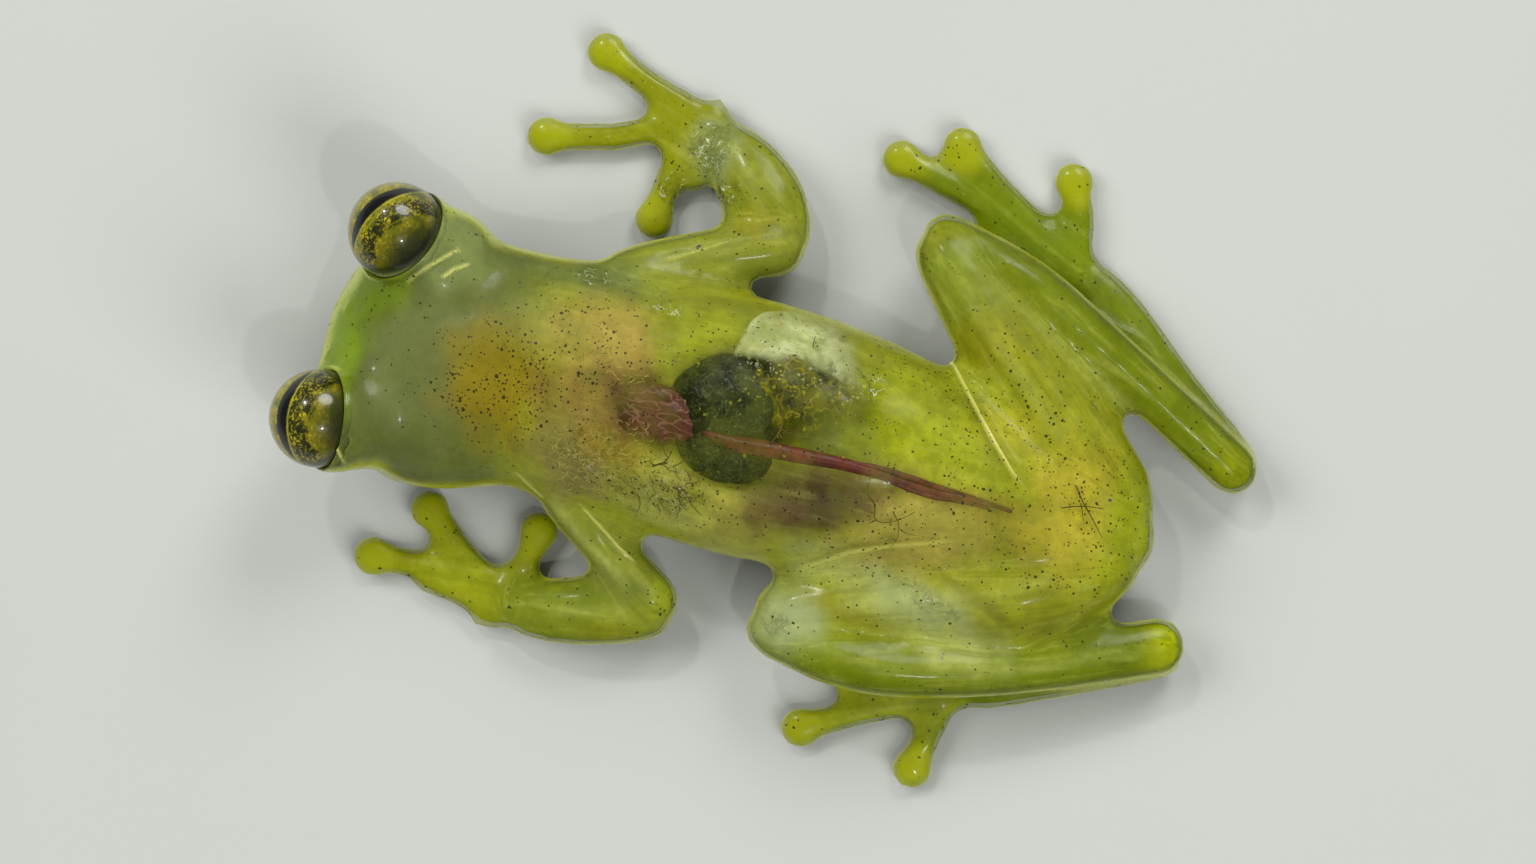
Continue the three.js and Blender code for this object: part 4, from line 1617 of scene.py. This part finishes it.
@dataclass
class FineVessels:
    """Fine vessels, furrows and short lines just under the skin."""

    surface: Surface
    step: float = 0.2
    depth: float = 0.14
    wander: float = 20.0
    branching: float = 0.3
    seed: int = 11
    sprigs: tuple[Sprig, ...] = (
        Sprig(2.2, 4.4, 60.0, 1.6, 0.02), Sprig(2.6, -3.6, 120.0, 1.6, 0.03),
        Sprig(3.1, -2.8, 60.0, 1.6, 0.028), Sprig(3.6, -3.9, 20.0, 1.2, 0.026),
        Sprig(2.4, -2.9, 80.0, 1.2, 0.024), Sprig(0.5, 10.4, 25.0, 0.9, 0.02),
        Sprig(0.4, 0.1, 60.0, 1.2, 0.022), Sprig(-2.4, 0.6, 200.0, 0.7, 0.018),
    )
    courses: tuple[tuple[Path, float], ...] = (
        (
            ((1.23, 3.4), (1.78, 3.42), (2.13, 3.75), (2.6, 3.92), (2.57, 4.35), (2.34, 4.75), (2.05, 5.1)),
            0.028,
        ),
        (((2.6, 3.92), (2.78, 3.7)), 0.024),
        (((-0.05, 10.1), (0.44, 10.46), (0.83, 10.83), (1.44, 11.38)), 0.032),
        (((0.8, 9.8), (0.6, 10.43), (0.5, 11.2)), 0.03),
        (((-0.85, 0.02), (-0.29, 0.0), (0.13, 0.2), (0.61, 0.14), (1.0, -0.05)), 0.06),
        (((0.61, 0.17), (0.81, 0.46), (1.0, 0.7)), 0.03),
    )
    dark_lines: tuple[Scatter, ...] = (
        Scatter((3.2, -3.3), (0.95, 1.6), 110, 0.01, 0.02),
        Scatter((2.4, -5.2), (1.0, 1.5), 60),
        Scatter((0.9, -6.6), (2.4, 1.2), 60),
    )
    pale_lines: tuple[Scatter, ...] = (
        Scatter((2.95, -5.7), (1.1, 1.4), 190),
        Scatter((3.3, -3.3), (0.9, 1.5), 90),
        Scatter((1.9, -4.8), (0.6, 0.9), 40),
        Scatter((-0.3, -5.2), (0.5, 0.8), 24, 0.007, 0.012, 90.0, 8.0),
    )

    def build(self) -> list[Piece]:
        """Builds the dark and the pale lines, and returns the two pieces."""
        draw = random.Random(self.seed)
        dark: list[Run] = []
        for sprig in self.sprigs:
            self.grow(sprig, draw, dark)
        for spots, radius in self.courses:
            last = len(spots) - 1
            slims = [1.0 - 0.5 * number / last for number in range(len(spots))]
            dark.append([
                (*self.surface.under(x, y, self.depth), radius * slim) for (x, y), slim in zip(spots, slims)
            ])
        pale: list[Run] = []
        for lines, scatters in ((dark, self.dark_lines), (pale, self.pale_lines)):
            for scatter in scatters:
                lines.extend(scatter.runs(self.surface, draw))
        vessels = strands("fine_vessels", dark, 1)
        dress(vessels, StrandFinish("dark_vessels", srgb(44, 34, 6), srgb(84, 62, 18)).material())
        lines = strands("pale_lines", pale, 1)
        dress(lines, StrandFinish("pale_tissue", srgb(138, 126, 56), srgb(176, 164, 92)).material())
        return [vessels, lines]

    def grow(self, sprig: Sprig, draw: random.Random, runs: list[Run]) -> None:
        """Adds a vessel and its branches to the runs."""
        x, y, heading = sprig.x, sprig.y, sprig.heading
        count = max(3, round(sprig.length / self.step))
        run = []
        for number in range(count):
            left = 1.0 - number / count
            run.append((*self.surface.under(x, y, self.depth), sprig.radius * (0.35 + 0.65 * left)))
            heading += draw.gauss(0.0, self.wander)
            x, y = step_on(x, y, heading, self.step)
            if draw.random() < self.branching and left > 0.3 and sprig.length > 0.8:
                turn = heading + draw.choice((-1, 1)) * draw.uniform(30.0, 65.0)
                self.grow(Sprig(x, y, turn, sprig.length * left * 0.6, sprig.radius * 0.7), draw, runs)
        runs.append(run)


@dataclass
class Bones:
    """The slim bones that show in the clear digits."""

    surface: Surface
    depth: float = 0.24
    radius: float = 0.075
    digits: dict[str, tuple[Path, ...]] = field(default_factory=lambda: {
        "finger_bones_left": (
            ((8.05, -7.5), (6.75, -7.1), (5.9, -6.95)), ((7.8, -8.4), (6.8, -9.55), (5.95, -10.6)),
            ((8.1, -8.9), (7.75, -10.6), (7.85, -12.0)),
        ),
        "finger_bones_right": (
            ((-8.5, -5.2), (-6.9, -5.45), (-5.7, -5.6)), ((-8.8, -5.5), (-7.85, -7.6), (-7.4, -9.6)),
            ((-9.3, -5.4), (-9.85, -6.9), (-10.5, -8.3)),
        ),
        "toe_bones_left": (
            ((8.2, 6.7), (9.15, 4.9), (10.0, 3.35)),
            ((8.2, 7.6), (9.3, 7.45), (10.4, 7.2)),
        ),
        "toe_bones_right": (
            ((-7.8, 7.0), (-8.7, 4.5), (-9.35, 2.2)), ((-8.0, 7.1), (-9.2, 5.4), (-10.2, 4.05)),
            ((-7.7, 8.5), (-8.9, 8.4), (-9.9, 7.9)),
        ),
    })

    def build(self) -> list[Piece]:
        """Builds the bones of every hand and foot, and returns the pieces."""
        material = StrandFinish("pale_bone", srgb(118, 122, 30), srgb(168, 166, 70)).material()
        pieces = []
        for name, digits in self.digits.items():
            piece = strands(name, [bone for digit in digits for bone in self.digit_bones(digit)], 2)
            dress(piece, material)
            pieces.append(piece)
        return pieces

    def digit_bones(self, run: Path) -> list[Run]:
        """Returns the slim bones of one digit, end to end."""
        bones = []
        for (x0, y0), (x1, y1) in zip(run, run[1:]):
            shares = ((0.04, 1.35), (0.2, 0.8), (0.7, 0.7), (0.9, 1.2))
            bones.append([
                (*self.surface.under(x0 + (x1 - x0) * t, y0 + (y1 - y0) * t, self.depth), self.radius * knob)
                for t, knob in shares
            ])
        return bones


@dataclass
class Eye:
    """A globe with a swelling cornea in front of the iris."""

    seat: EyeSeat
    cornea_rise: float = 0.05
    cornea_reach: float = 55.0

    def build(self) -> Piece:
        """Returns the eye with its finish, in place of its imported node."""
        seat = self.seat
        eye = add_piece(
            f"{seat.name}_globe", bpy.ops.mesh.primitive_uv_sphere_add,
            segments=96, ring_count=64, radius=seat.radius, location=seat.centre,
            rotation=seat.gaze().to_track_quat("Z", "Y").to_euler(),
        )
        bpy.ops.object.transform_apply(location=True, rotation=True, scale=True)
        points = points_of(eye)
        offset = points - np.array(seat.centre)
        angle = np.degrees(np.arccos(np.clip(offset @ np.array(seat.gaze()) / seat.radius, -1.0, 1.0)))
        swell = 1.0 + self.cornea_rise * ease(angle, self.cornea_reach, 0.0)
        move_points(eye, np.array(seat.centre) + offset * swell[:, None])
        shade_smooth(eye)
        finish = EyeFinish(
            f"{seat.name}_iris", seat.centre, seat.gaze(), seat.radius, seat.band_rise, seat.band_width
        )
        dress(eye, finish.material())
        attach(eye, BODY)
        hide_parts(seat.name)
        return eye


# Floor, light and camera


@dataclass(frozen=True)
class Lamp:
    """A soft round light: its place and size in millimetres, its power, its colour and whether it glints."""

    name: str
    place: Point
    size: float
    watts: float
    colour: tuple[float, float, float] = (1.0, 1.0, 1.0)
    mirrored: bool = True

    def build(self) -> None:
        """Adds the light, aimed at the frog."""
        light = bpy.data.lights.new(self.name, "AREA")
        light.energy = self.watts
        light.shape = "DISK"
        light.size = self.size * MM
        light.color = self.colour
        lamp = bpy.data.objects.new(self.name, light)
        lamp.location = Vector(self.place) * MM
        lamp.rotation_euler = (-lamp.location).to_track_quat("-Z", "Y").to_euler()
        lamp.visible_glossy = self.mirrored
        bpy.context.scene.collection.objects.link(lamp)


@dataclass
class Studio:
    """The pale floor, the soft light and the camera straight above the frog."""

    floor_size: float = 900.0
    camera_place: Point = (0.627, -0.194, 144.7)
    camera_turn: float = 13.5
    lens: float = 100.0
    lamps: tuple[Lamp, ...] = (
        Lamp("wide_left", (-60.0, -330.0, 270.0), 260.0, 1.3, mirrored=False),
        Lamp("wide_right", (170.0, 250.0, 250.0), 240.0, 0.9, mirrored=False),
        Lamp("wide_top", (-300.0, 60.0, 240.0), 180.0, 0.8),
        Lamp("window", (-170.0, -150.0, 240.0), 20.0, 0.2, (1.0, 0.98, 0.94)),
        Lamp("spark", (100.0, 90.0, 260.0), 12.0, 0.1),
    )

    def build(self) -> None:
        """Builds floor, lights and camera."""
        self.floor()
        for lamp in self.lamps:
            lamp.build()
        world = bpy.data.worlds.new("soft_sky")
        world.use_nodes = True
        sky = world.node_tree.nodes["Background"]
        sky.inputs["Color"].default_value = (0.93, 0.97, 1.0, 1.0)
        sky.inputs["Strength"].default_value = 0.2
        bpy.context.scene.world = world
        bpy.context.scene.view_settings.view_transform = "Standard"
        self.camera()

    def floor(self) -> None:
        """Adds the floor."""
        floor = add_piece("floor", bpy.ops.mesh.primitive_plane_add, size=self.floor_size * MM)
        dress(floor, FloorFinish().material())

    def camera(self) -> None:
        """Adds the camera, looking down with the frog's head to the left of the picture."""
        lens = bpy.data.cameras.new("camera")
        lens.lens = self.lens
        lens.clip_start = 0.001
        camera = bpy.data.objects.new("camera", lens)
        turn = math.radians(self.camera_turn)
        right = Vector((-math.sin(turn), math.cos(turn), 0.0))
        up = Vector((-math.cos(turn), -math.sin(turn), 0.0))
        matrix = Matrix((right, up, right.cross(up))).transposed().to_4x4()
        matrix.translation = LAYOUT.place(*self.camera_place)
        camera.matrix_world = matrix
        bpy.context.scene.collection.objects.link(camera)
        bpy.context.scene.camera = camera


# This frog's colours and markings

DISC_TINT = srgb(152, 158, 6)
DISC_TIPS: Path = (
    (5.7, -6.95), (5.85, -10.7), (7.82, -12.2), (-5.48, -5.62), (-7.35, -9.82), (-10.6, -8.5),
    (7.8, 4.1), (10.1, 3.2), (10.55, 7.2), (-9.4, 2.05), (-10.3, 3.95), (-10.0, 7.9),
)
# Folds of the skin: each is raised as a ridge with a furrow beside, and a pale highlight line is painted
# along its ridge.
FOLDS = (
    Course(
        ((-3.35, 4.9), (-2.88, 5.39), (-2.03, 6.07), (-1.3, 6.69), (-0.63, 7.29), (0.03, 7.92), (0.6, 8.7)),
        0.06,
    ),
    Course(((-2.2, 6.35), (-1.36, 7.11), (-0.72, 7.67), (-0.1, 8.4)), 0.08, 0.35),
    Course(((5.0, 1.6), (4.38, 2.54), (3.84, 3.36), (3.34, 4.6), (2.94, 5.86), (2.5, 7.28)), 0.07, 0.6),
    Course(((-2.02, -12.24), (-2.46, -11.81), (-2.9, -11.38)), 0.05, 0.8),
    Course(((-1.73, -11.79), (-2.16, -11.42), (-2.5, -10.9)), 0.05, 0.8),
    Course(((-1.3, -12.9), (-1.72, -12.53), (-2.29, -11.99)), 0.06, 0.5),
    Course(((2.88, -14.84), (3.64, -14.3), (4.26, -13.9), (5.06, -13.3)), 0.06, 0.8),
    Course(((3.81, -8.05), (4.17, -7.45), (4.54, -6.85)), 0.05, 0.6),
    Course(((-4.03, -5.0), (-4.72, -3.8), (-5.28, -2.91)), 0.05, 0.5),
    Course(((4.31, -5.83), (4.95, -4.92), (5.54, -4.09), (5.97, -3.3)), 0.06, 0.8),
)
ORGANS = (
    Organ(
        "gut",
        (
            Mass(0.25, -1.65, 0.16, (1.85, 2.0, 1.2), 10.0),
            Mass(1.5, -1.5, 0.28, (1.1, 1.65, 0.8), -6.0),
        ),
        0.09,
        ((0.9, 0.14), (0.25, 0.06)),
        Patch(0.55, -1.6, 2.4, 2.4, 1.0, softness=0.14, ripple=0.02),
        OrganFinish(
            "green_gut", srgb(2, 5, 0), srgb(16, 25, 6), srgb(70, 86, 46), flecks=0.1,
            line_strength=0.4, scale=900.0, line_scale=4200.0,
        ),
    ),
    Organ(
        "gut_lobe",
        (
            Mass(-1.0, 0.1, 0.18, (1.15, 1.5, 0.6), -8.0),
            Mass(-1.0, 1.3, 0.18, (1.25, 1.6, 0.65), 14.0),
            Mass(-0.1, 1.0, 0.28, (1.1, 1.5, 0.6), 10.0),
        ),
        0.1,
        ((0.5, 0.25),),
        Patch(-0.8, 0.45, 1.05, 1.5, 1.0, turn=6.0, softness=0.6, ripple=0.1),
        OrganFinish(
            "olive_gut", srgb(12, 15, 0), srgb(84, 84, 0), srgb(128, 120, 4), flecks=0.2,
            fleck_size=0.28, line_strength=0.6, scale=1500.0, line_scale=2300.0,
        ),
    ),
    Organ(
        "heart",
        (
            Mass(0.5, -4.3, 0.2, (0.6, 1.35, 0.5), 4.0),
            Mass(1.2, -4.1, 0.25, (0.7, 1.2, 0.5), -10.0),
            Mass(0.9, -3.2, 0.3, (0.85, 1.3, 0.5), 0.0),
        ),
        0.08,
        ((0.35, 0.14),),
        Patch(0.8, -3.7, 0.95, 1.6, 1.0, softness=0.45, ripple=0.08),
        OrganFinish(
            "red_heart", srgb(52, 8, 14), srgb(82, 34, 30), srgb(152, 104, 90), flecks=0.05,
            line_strength=0.32, scale=1100.0, line_scale=3400.0, stretch=(1.0, 0.28, 1.0),
        ),
    ),
)
LIMB_BONES = (
    Course(((4.3, -6.9), (5.0, -6.0), (5.56, -5.29), (6.11, -4.47), (6.78, -3.4)), 0.2, 0.9),
    Course(((7.4, -3.2), (7.85, -4.6), (8.25, -6.3)), 0.2, 0.5),
    Course(((-3.2, -6.3), (-3.9, -5.0), (-4.6, -3.7), (-5.4, -2.1)), 0.2, 0.4),
    Course(((-6.2, -1.9), (-7.1, -2.5), (-8.1, -3.4)), 0.2, 0.4),
    Course(((2.9, 10.4), (4.0, 8.6), (4.9, 5.4), (6.1, 2.6)), 0.25, 0.4),
    Course(((7.1, 2.6), (7.35, 5.2), (6.5, 9.3), (5.0, 13.4)), 0.2, 0.5),
    Course(((-1.0, 9.8), (-2.6, 8.0), (-4.6, 5.9), (-6.3, 4.4)), 0.22, 0.45),
    Course(((-6.4, 5.3), (-5.1, 7.4), (-3.7, 9.9), (-2.0, 13.4)), 0.22, 0.5),
    Course(((5.53, 11.39), (4.9, 13.3)), 0.12, 0.7),
)


def disc_patches(half: float, value: Colour | float, amount: float = 1.0) -> tuple[Patch, ...]:
    """Returns the same patch on the disc of every finger and toe that shows."""
    return tuple(
        Patch(x, y, half, half, value, amount=amount, ripple=0.03, on_paws=True) for x, y in DISC_TIPS
    )


MARKINGS = Markings(
    flesh_tints=(
        Patch(0.9, -9.3, 2.3, 1.9, srgb(122, 108, 8), softness=0.6),
        Patch(1.4, -9.4, 1.1, 1.0, srgb(134, 114, 2), softness=0.7),
        Patch(-3.05, -6.9, 0.9, 1.9, srgb(92, 106, 52)),
        Patch(-1.2, -8.6, 1.1, 1.2, srgb(118, 122, 48), softness=0.6),
        Patch(-0.9, -6.3, 1.5, 1.7, srgb(148, 128, 54), turn=15.0, softness=0.65, ripple=0.05),
        Patch(-0.9, -5.6, 1.2, 1.0, srgb(152, 130, 58), turn=-15.0, softness=0.6, ripple=0.05),
        Patch(1.3, -6.3, 1.2, 1.7, srgb(126, 102, 46)),
        # Darker olive-brown at the armpit: painted shade.
        Patch(2.9, -6.2, 1.3, 1.6, srgb(116, 102, 56)),
        Patch(3.2, -3.4, 1.0, 1.5, srgb(150, 148, 62)),
        Patch(2.2, -4.9, 0.7, 1.2, srgb(142, 116, 34), amount=0.8),
        Patch(3.7, -0.5, 1.2, 1.5, srgb(154, 150, 62), amount=0.9),
        Patch(4.1, -2.9, 0.9, 1.3, srgb(154, 156, 68), amount=0.9),
        Patch(4.3, 2.6, 0.7, 1.5, srgb(166, 172, 96), amount=0.9),
        Patch(1.5, 4.8, 1.1, 2.2, srgb(160, 138, 66), amount=0.8, softness=0.7),
        Patch(-0.4, 2.6, 1.1, 1.3, srgb(62, 72, 12), amount=0.85, softness=0.6),
        Patch(-0.9, 0.6, 1.9, 2.6, srgb(70, 72, 4), amount=0.8, softness=0.5),
        Patch(0.8, -4.4, 1.2, 1.8, srgb(96, 54, 36), amount=0.8, softness=0.5),
        Patch(0.2, 2.6, 0.7, 1.5, srgb(118, 130, 62), amount=0.7, softness=0.6),
        Patch(2.9, 5.1, 1.4, 2.5, srgb(168, 154, 68), turn=10.0, softness=0.6),
        Patch(2.5, 1.6, 1.15, 2.5, srgb(86, 70, 36), turn=19.0, softness=0.5, ripple=0.05),
        Patch(2.6, 2.3, 0.6, 1.4, srgb(62, 46, 30), turn=19.0, amount=0.8, softness=0.7, ripple=0.03),
        Patch(-1.2, 5.2, 2.2, 3.2, srgb(142, 150, 16)),
        Patch(1.4, 8.2, 0.5, 2.0, srgb(140, 116, 34), amount=0.6, softness=0.6),
        Patch(2.3, 9.3, 0.8, 1.3, srgb(132, 114, 34), amount=0.6, softness=0.6),
        Patch(0.6, 10.4, 2.2, 1.6, srgb(172, 156, 40), amount=0.9),
        Patch(0.3, 12.3, 2.8, 0.9, srgb(142, 152, 6), amount=0.9),
        Patch(-1.3, 8.0, 0.9, 1.6, srgb(166, 160, 28), amount=0.8),
        Patch(-5.7, 4.7, 1.6, 1.5, srgb(106, 122, 40), amount=0.9),
        Patch(-3.9, 6.2, 0.8, 1.2, srgb(134, 128, 8), amount=0.7),
        Patch(6.5, 1.9, 1.1, 1.2, srgb(138, 150, 84), amount=0.8, softness=0.7),
        Patch(5.7, 6.0, 0.9, 3.4, srgb(156, 162, 74), turn=-18.0, amount=0.9),
        Patch(4.9, 5.8, 0.55, 1.9, srgb(140, 148, 84), turn=-15.0, amount=0.8),
        Patch(4.4, 7.8, 0.22, 1.7, srgb(88, 84, 26), turn=-22.0, amount=0.8, softness=0.6),
        Patch(5.9, 4.0, 0.3, 1.8, srgb(126, 120, 14), turn=-8.0, amount=0.6),
        Patch(8.5, -4.0, 0.4, 2.0, srgb(138, 134, 4), turn=-10.0, amount=0.9),
        Patch(7.1, -2.2, 0.9, 0.7, srgb(164, 176, 20), amount=0.95),
        Patch(6.8, -4.2, 0.6, 1.3, srgb(104, 116, 52), amount=0.7),
        Patch(-6.1, -2.2, 0.6, 0.8, srgb(136, 124, 4), amount=0.8),
        Patch(-6.0, -0.9, 0.8, 0.7, srgb(144, 148, 44), amount=0.7),
        Patch(4.6, 14.5, 1.0, 0.9, srgb(186, 194, 0), amount=0.95),
        Patch(4.8, 12.6, 0.9, 1.3, srgb(80, 98, 22), amount=0.8),
        Patch(7.9, -5.9, 1.2, 1.8, srgb(96, 114, 18), amount=0.8),
        Patch(7.2, -9.2, 1.4, 1.4, srgb(152, 162, 26), amount=0.8),
        Patch(8.6, 5.3, 2.6, 3.2, srgb(166, 172, 46), on_paws=True),
        Patch(-9.0, 5.5, 2.6, 4.5, srgb(88, 114, 0), on_paws=True),
        Patch(-1.6, 15.4, 1.0, 0.9, srgb(136, 146, 0), amount=0.8),
        *disc_patches(0.9, srgb(144, 150, 4)),
    ),
    skin_tints=(
        Patch(0.9, -11.8, 3.0, 2.3, srgb(108, 116, 68), amount=0.85),
        Patch(-3.0, -11.9, 1.4, 1.6, srgb(150, 166, 96), amount=0.8),
        Patch(-1.2, -13.7, 1.3, 1.0, srgb(114, 138, 18), amount=0.9),
        Patch(1.6, -14.6, 3.2, 0.9, srgb(114, 138, 18), amount=0.95),
        Patch(0.9, -9.2, 2.0, 1.7, srgb(140, 124, 18), amount=0.8),
        # Whitish patches on the knee, along the thigh and on the palm: painted sheen of wet skin. The thigh
        # patch is partly milky skin as well.
        Patch(6.5, 1.8, 1.0, 1.1, srgb(186, 198, 150), amount=0.8, softness=0.8),
        Patch(5.1, 6.0, 0.8, 2.6, srgb(178, 188, 132), turn=-15.0, amount=0.7, softness=0.8),
        Patch(-8.2, -4.2, 1.0, 0.9, srgb(172, 184, 140), amount=0.7),
        *disc_patches(0.95, DISC_TINT),
    ),
    covers=(
        Patch(0.5, 0.6, 3.2, 6.0, 0.08),
        Patch(0.9, -11.9, 2.8, 2.3, 0.5, amount=0.9),
        Patch(1.6, -14.7, 3.4, 0.9, 0.8, amount=0.95),
        Patch(-1.2, -13.7, 1.3, 1.0, 0.6, amount=0.8),
        # More cover where the sheen on the knee is painted.
        Patch(6.5, 1.9, 1.1, 1.1, 0.4, softness=0.8),
        Patch(-3.0, -11.9, 1.4, 1.6, 0.5),
        # More cover where the milky skin and painted sheen along the thigh lie.
        Patch(5.1, 6.0, 0.7, 2.6, 0.42, turn=-15.0, softness=0.8),
        *disc_patches(0.95, 0.66),
    ),
    specks=(
        Patch(0.5, 3.0, 3.9, 8.5, 0.36),
        Patch(-1.2, 5.4, 1.9, 2.4, 0.4),
        Patch(0.9, -9.2, 1.9, 1.9, 1.2),
        Patch(1.4, -9.1, 0.9, 1.0, 2.0),
        Patch(-0.4, -6.4, 2.0, 1.5, 0.8),
        Patch(3.1, -3.4, 1.0, 1.6, 0.6),
        Patch(2.8, 0.6, 1.0, 2.6, 0.4),
        Patch(0.6, 10.6, 2.6, 2.2, 0.7),
        Patch(-2.6, 7.0, 1.2, 2.0, 0.45),
    ),
    flecks=(
        Patch(-0.8, 0.2, 2.2, 2.8, 0.14),
        Patch(-1.2, 0.7, 1.3, 1.9, 0.4),
        Patch(3.2, -3.0, 1.0, 1.8, 0.35),
    ),
    # Wrinkles: bumped in the skin, with pale glint lines painted along them as highlights.
    wrinkles=(
        Patch(-3.05, -6.85, 0.35, 0.7, 1.0, softness=0.3),
        Patch(-8.2, -4.3, 0.85, 0.75, 1.0, softness=0.3),
        Patch(-6.9, -3.3, 0.4, 0.4, 1.0, softness=0.3),
        Patch(-6.6, -5.3, 0.5, 0.4, 0.9, softness=0.3),
        Patch(-2.4, -4.4, 0.35, 0.6, 0.8, softness=0.3),
        Patch(-1.68, 2.95, 0.35, 0.35, 0.9, softness=0.3),
        Patch(4.75, 6.2, 0.3, 1.3, 0.7, turn=-22.0, softness=0.35),
        Patch(6.7, 1.5, 0.3, 0.5, 0.7, softness=0.35),
        Patch(3.3, -5.6, 0.9, 1.1, 0.4),
        Patch(3.4, -2.8, 0.7, 0.9, 0.5),
    ),
)


def main() -> None:
    """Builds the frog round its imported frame, piece by piece."""
    logging.basicConfig(level=logging.INFO, format="%(name)s: %(message)s")
    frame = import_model()
    flesh_names = sorted(name for name in frame["nodes"] if not name.startswith("eye_"))
    nodes = [frame["nodes"][name] for name in flesh_names]
    finder = NodeFinder(nodes)
    seats = [
        EyeSeat("eye_left", 8.0, 26.0, 4.0, 51.0, 0.34, 0.3),
        EyeSeat("eye_right", -28.0, 42.0, -35.0, 52.0, 0.42, 0.2),
    ]

    body = BodySkin(nodes, finder, seats, SkinFinish(), folds=FOLDS)
    skin = body.build()
    core = FleshCore(finder, seats, FleshFinish())
    flesh = core.build(skin)
    body.paint(MARKINGS)
    core.paint(MARKINGS.flesh_tints, LIMB_BONES)
    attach(skin, BODY)
    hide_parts(*flesh_names)

    surface = Surface(skin)
    inside = [flesh, *(organ.build(surface) for organ in ORGANS), Lining(surface).build()]
    inside += [MainVein(surface).build(), *FineVessels(surface).build(), *Bones(surface).build()]
    for piece in inside:
        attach(piece, BODY)
    eyes = [Eye(seat).build() for seat in seats]
    for piece in (skin, *inside, *eyes):
        LOG.info("%s: %d faces", piece.name, len(piece.data.polygons))

    Studio().build()


if __name__ == "__main__":
    main()
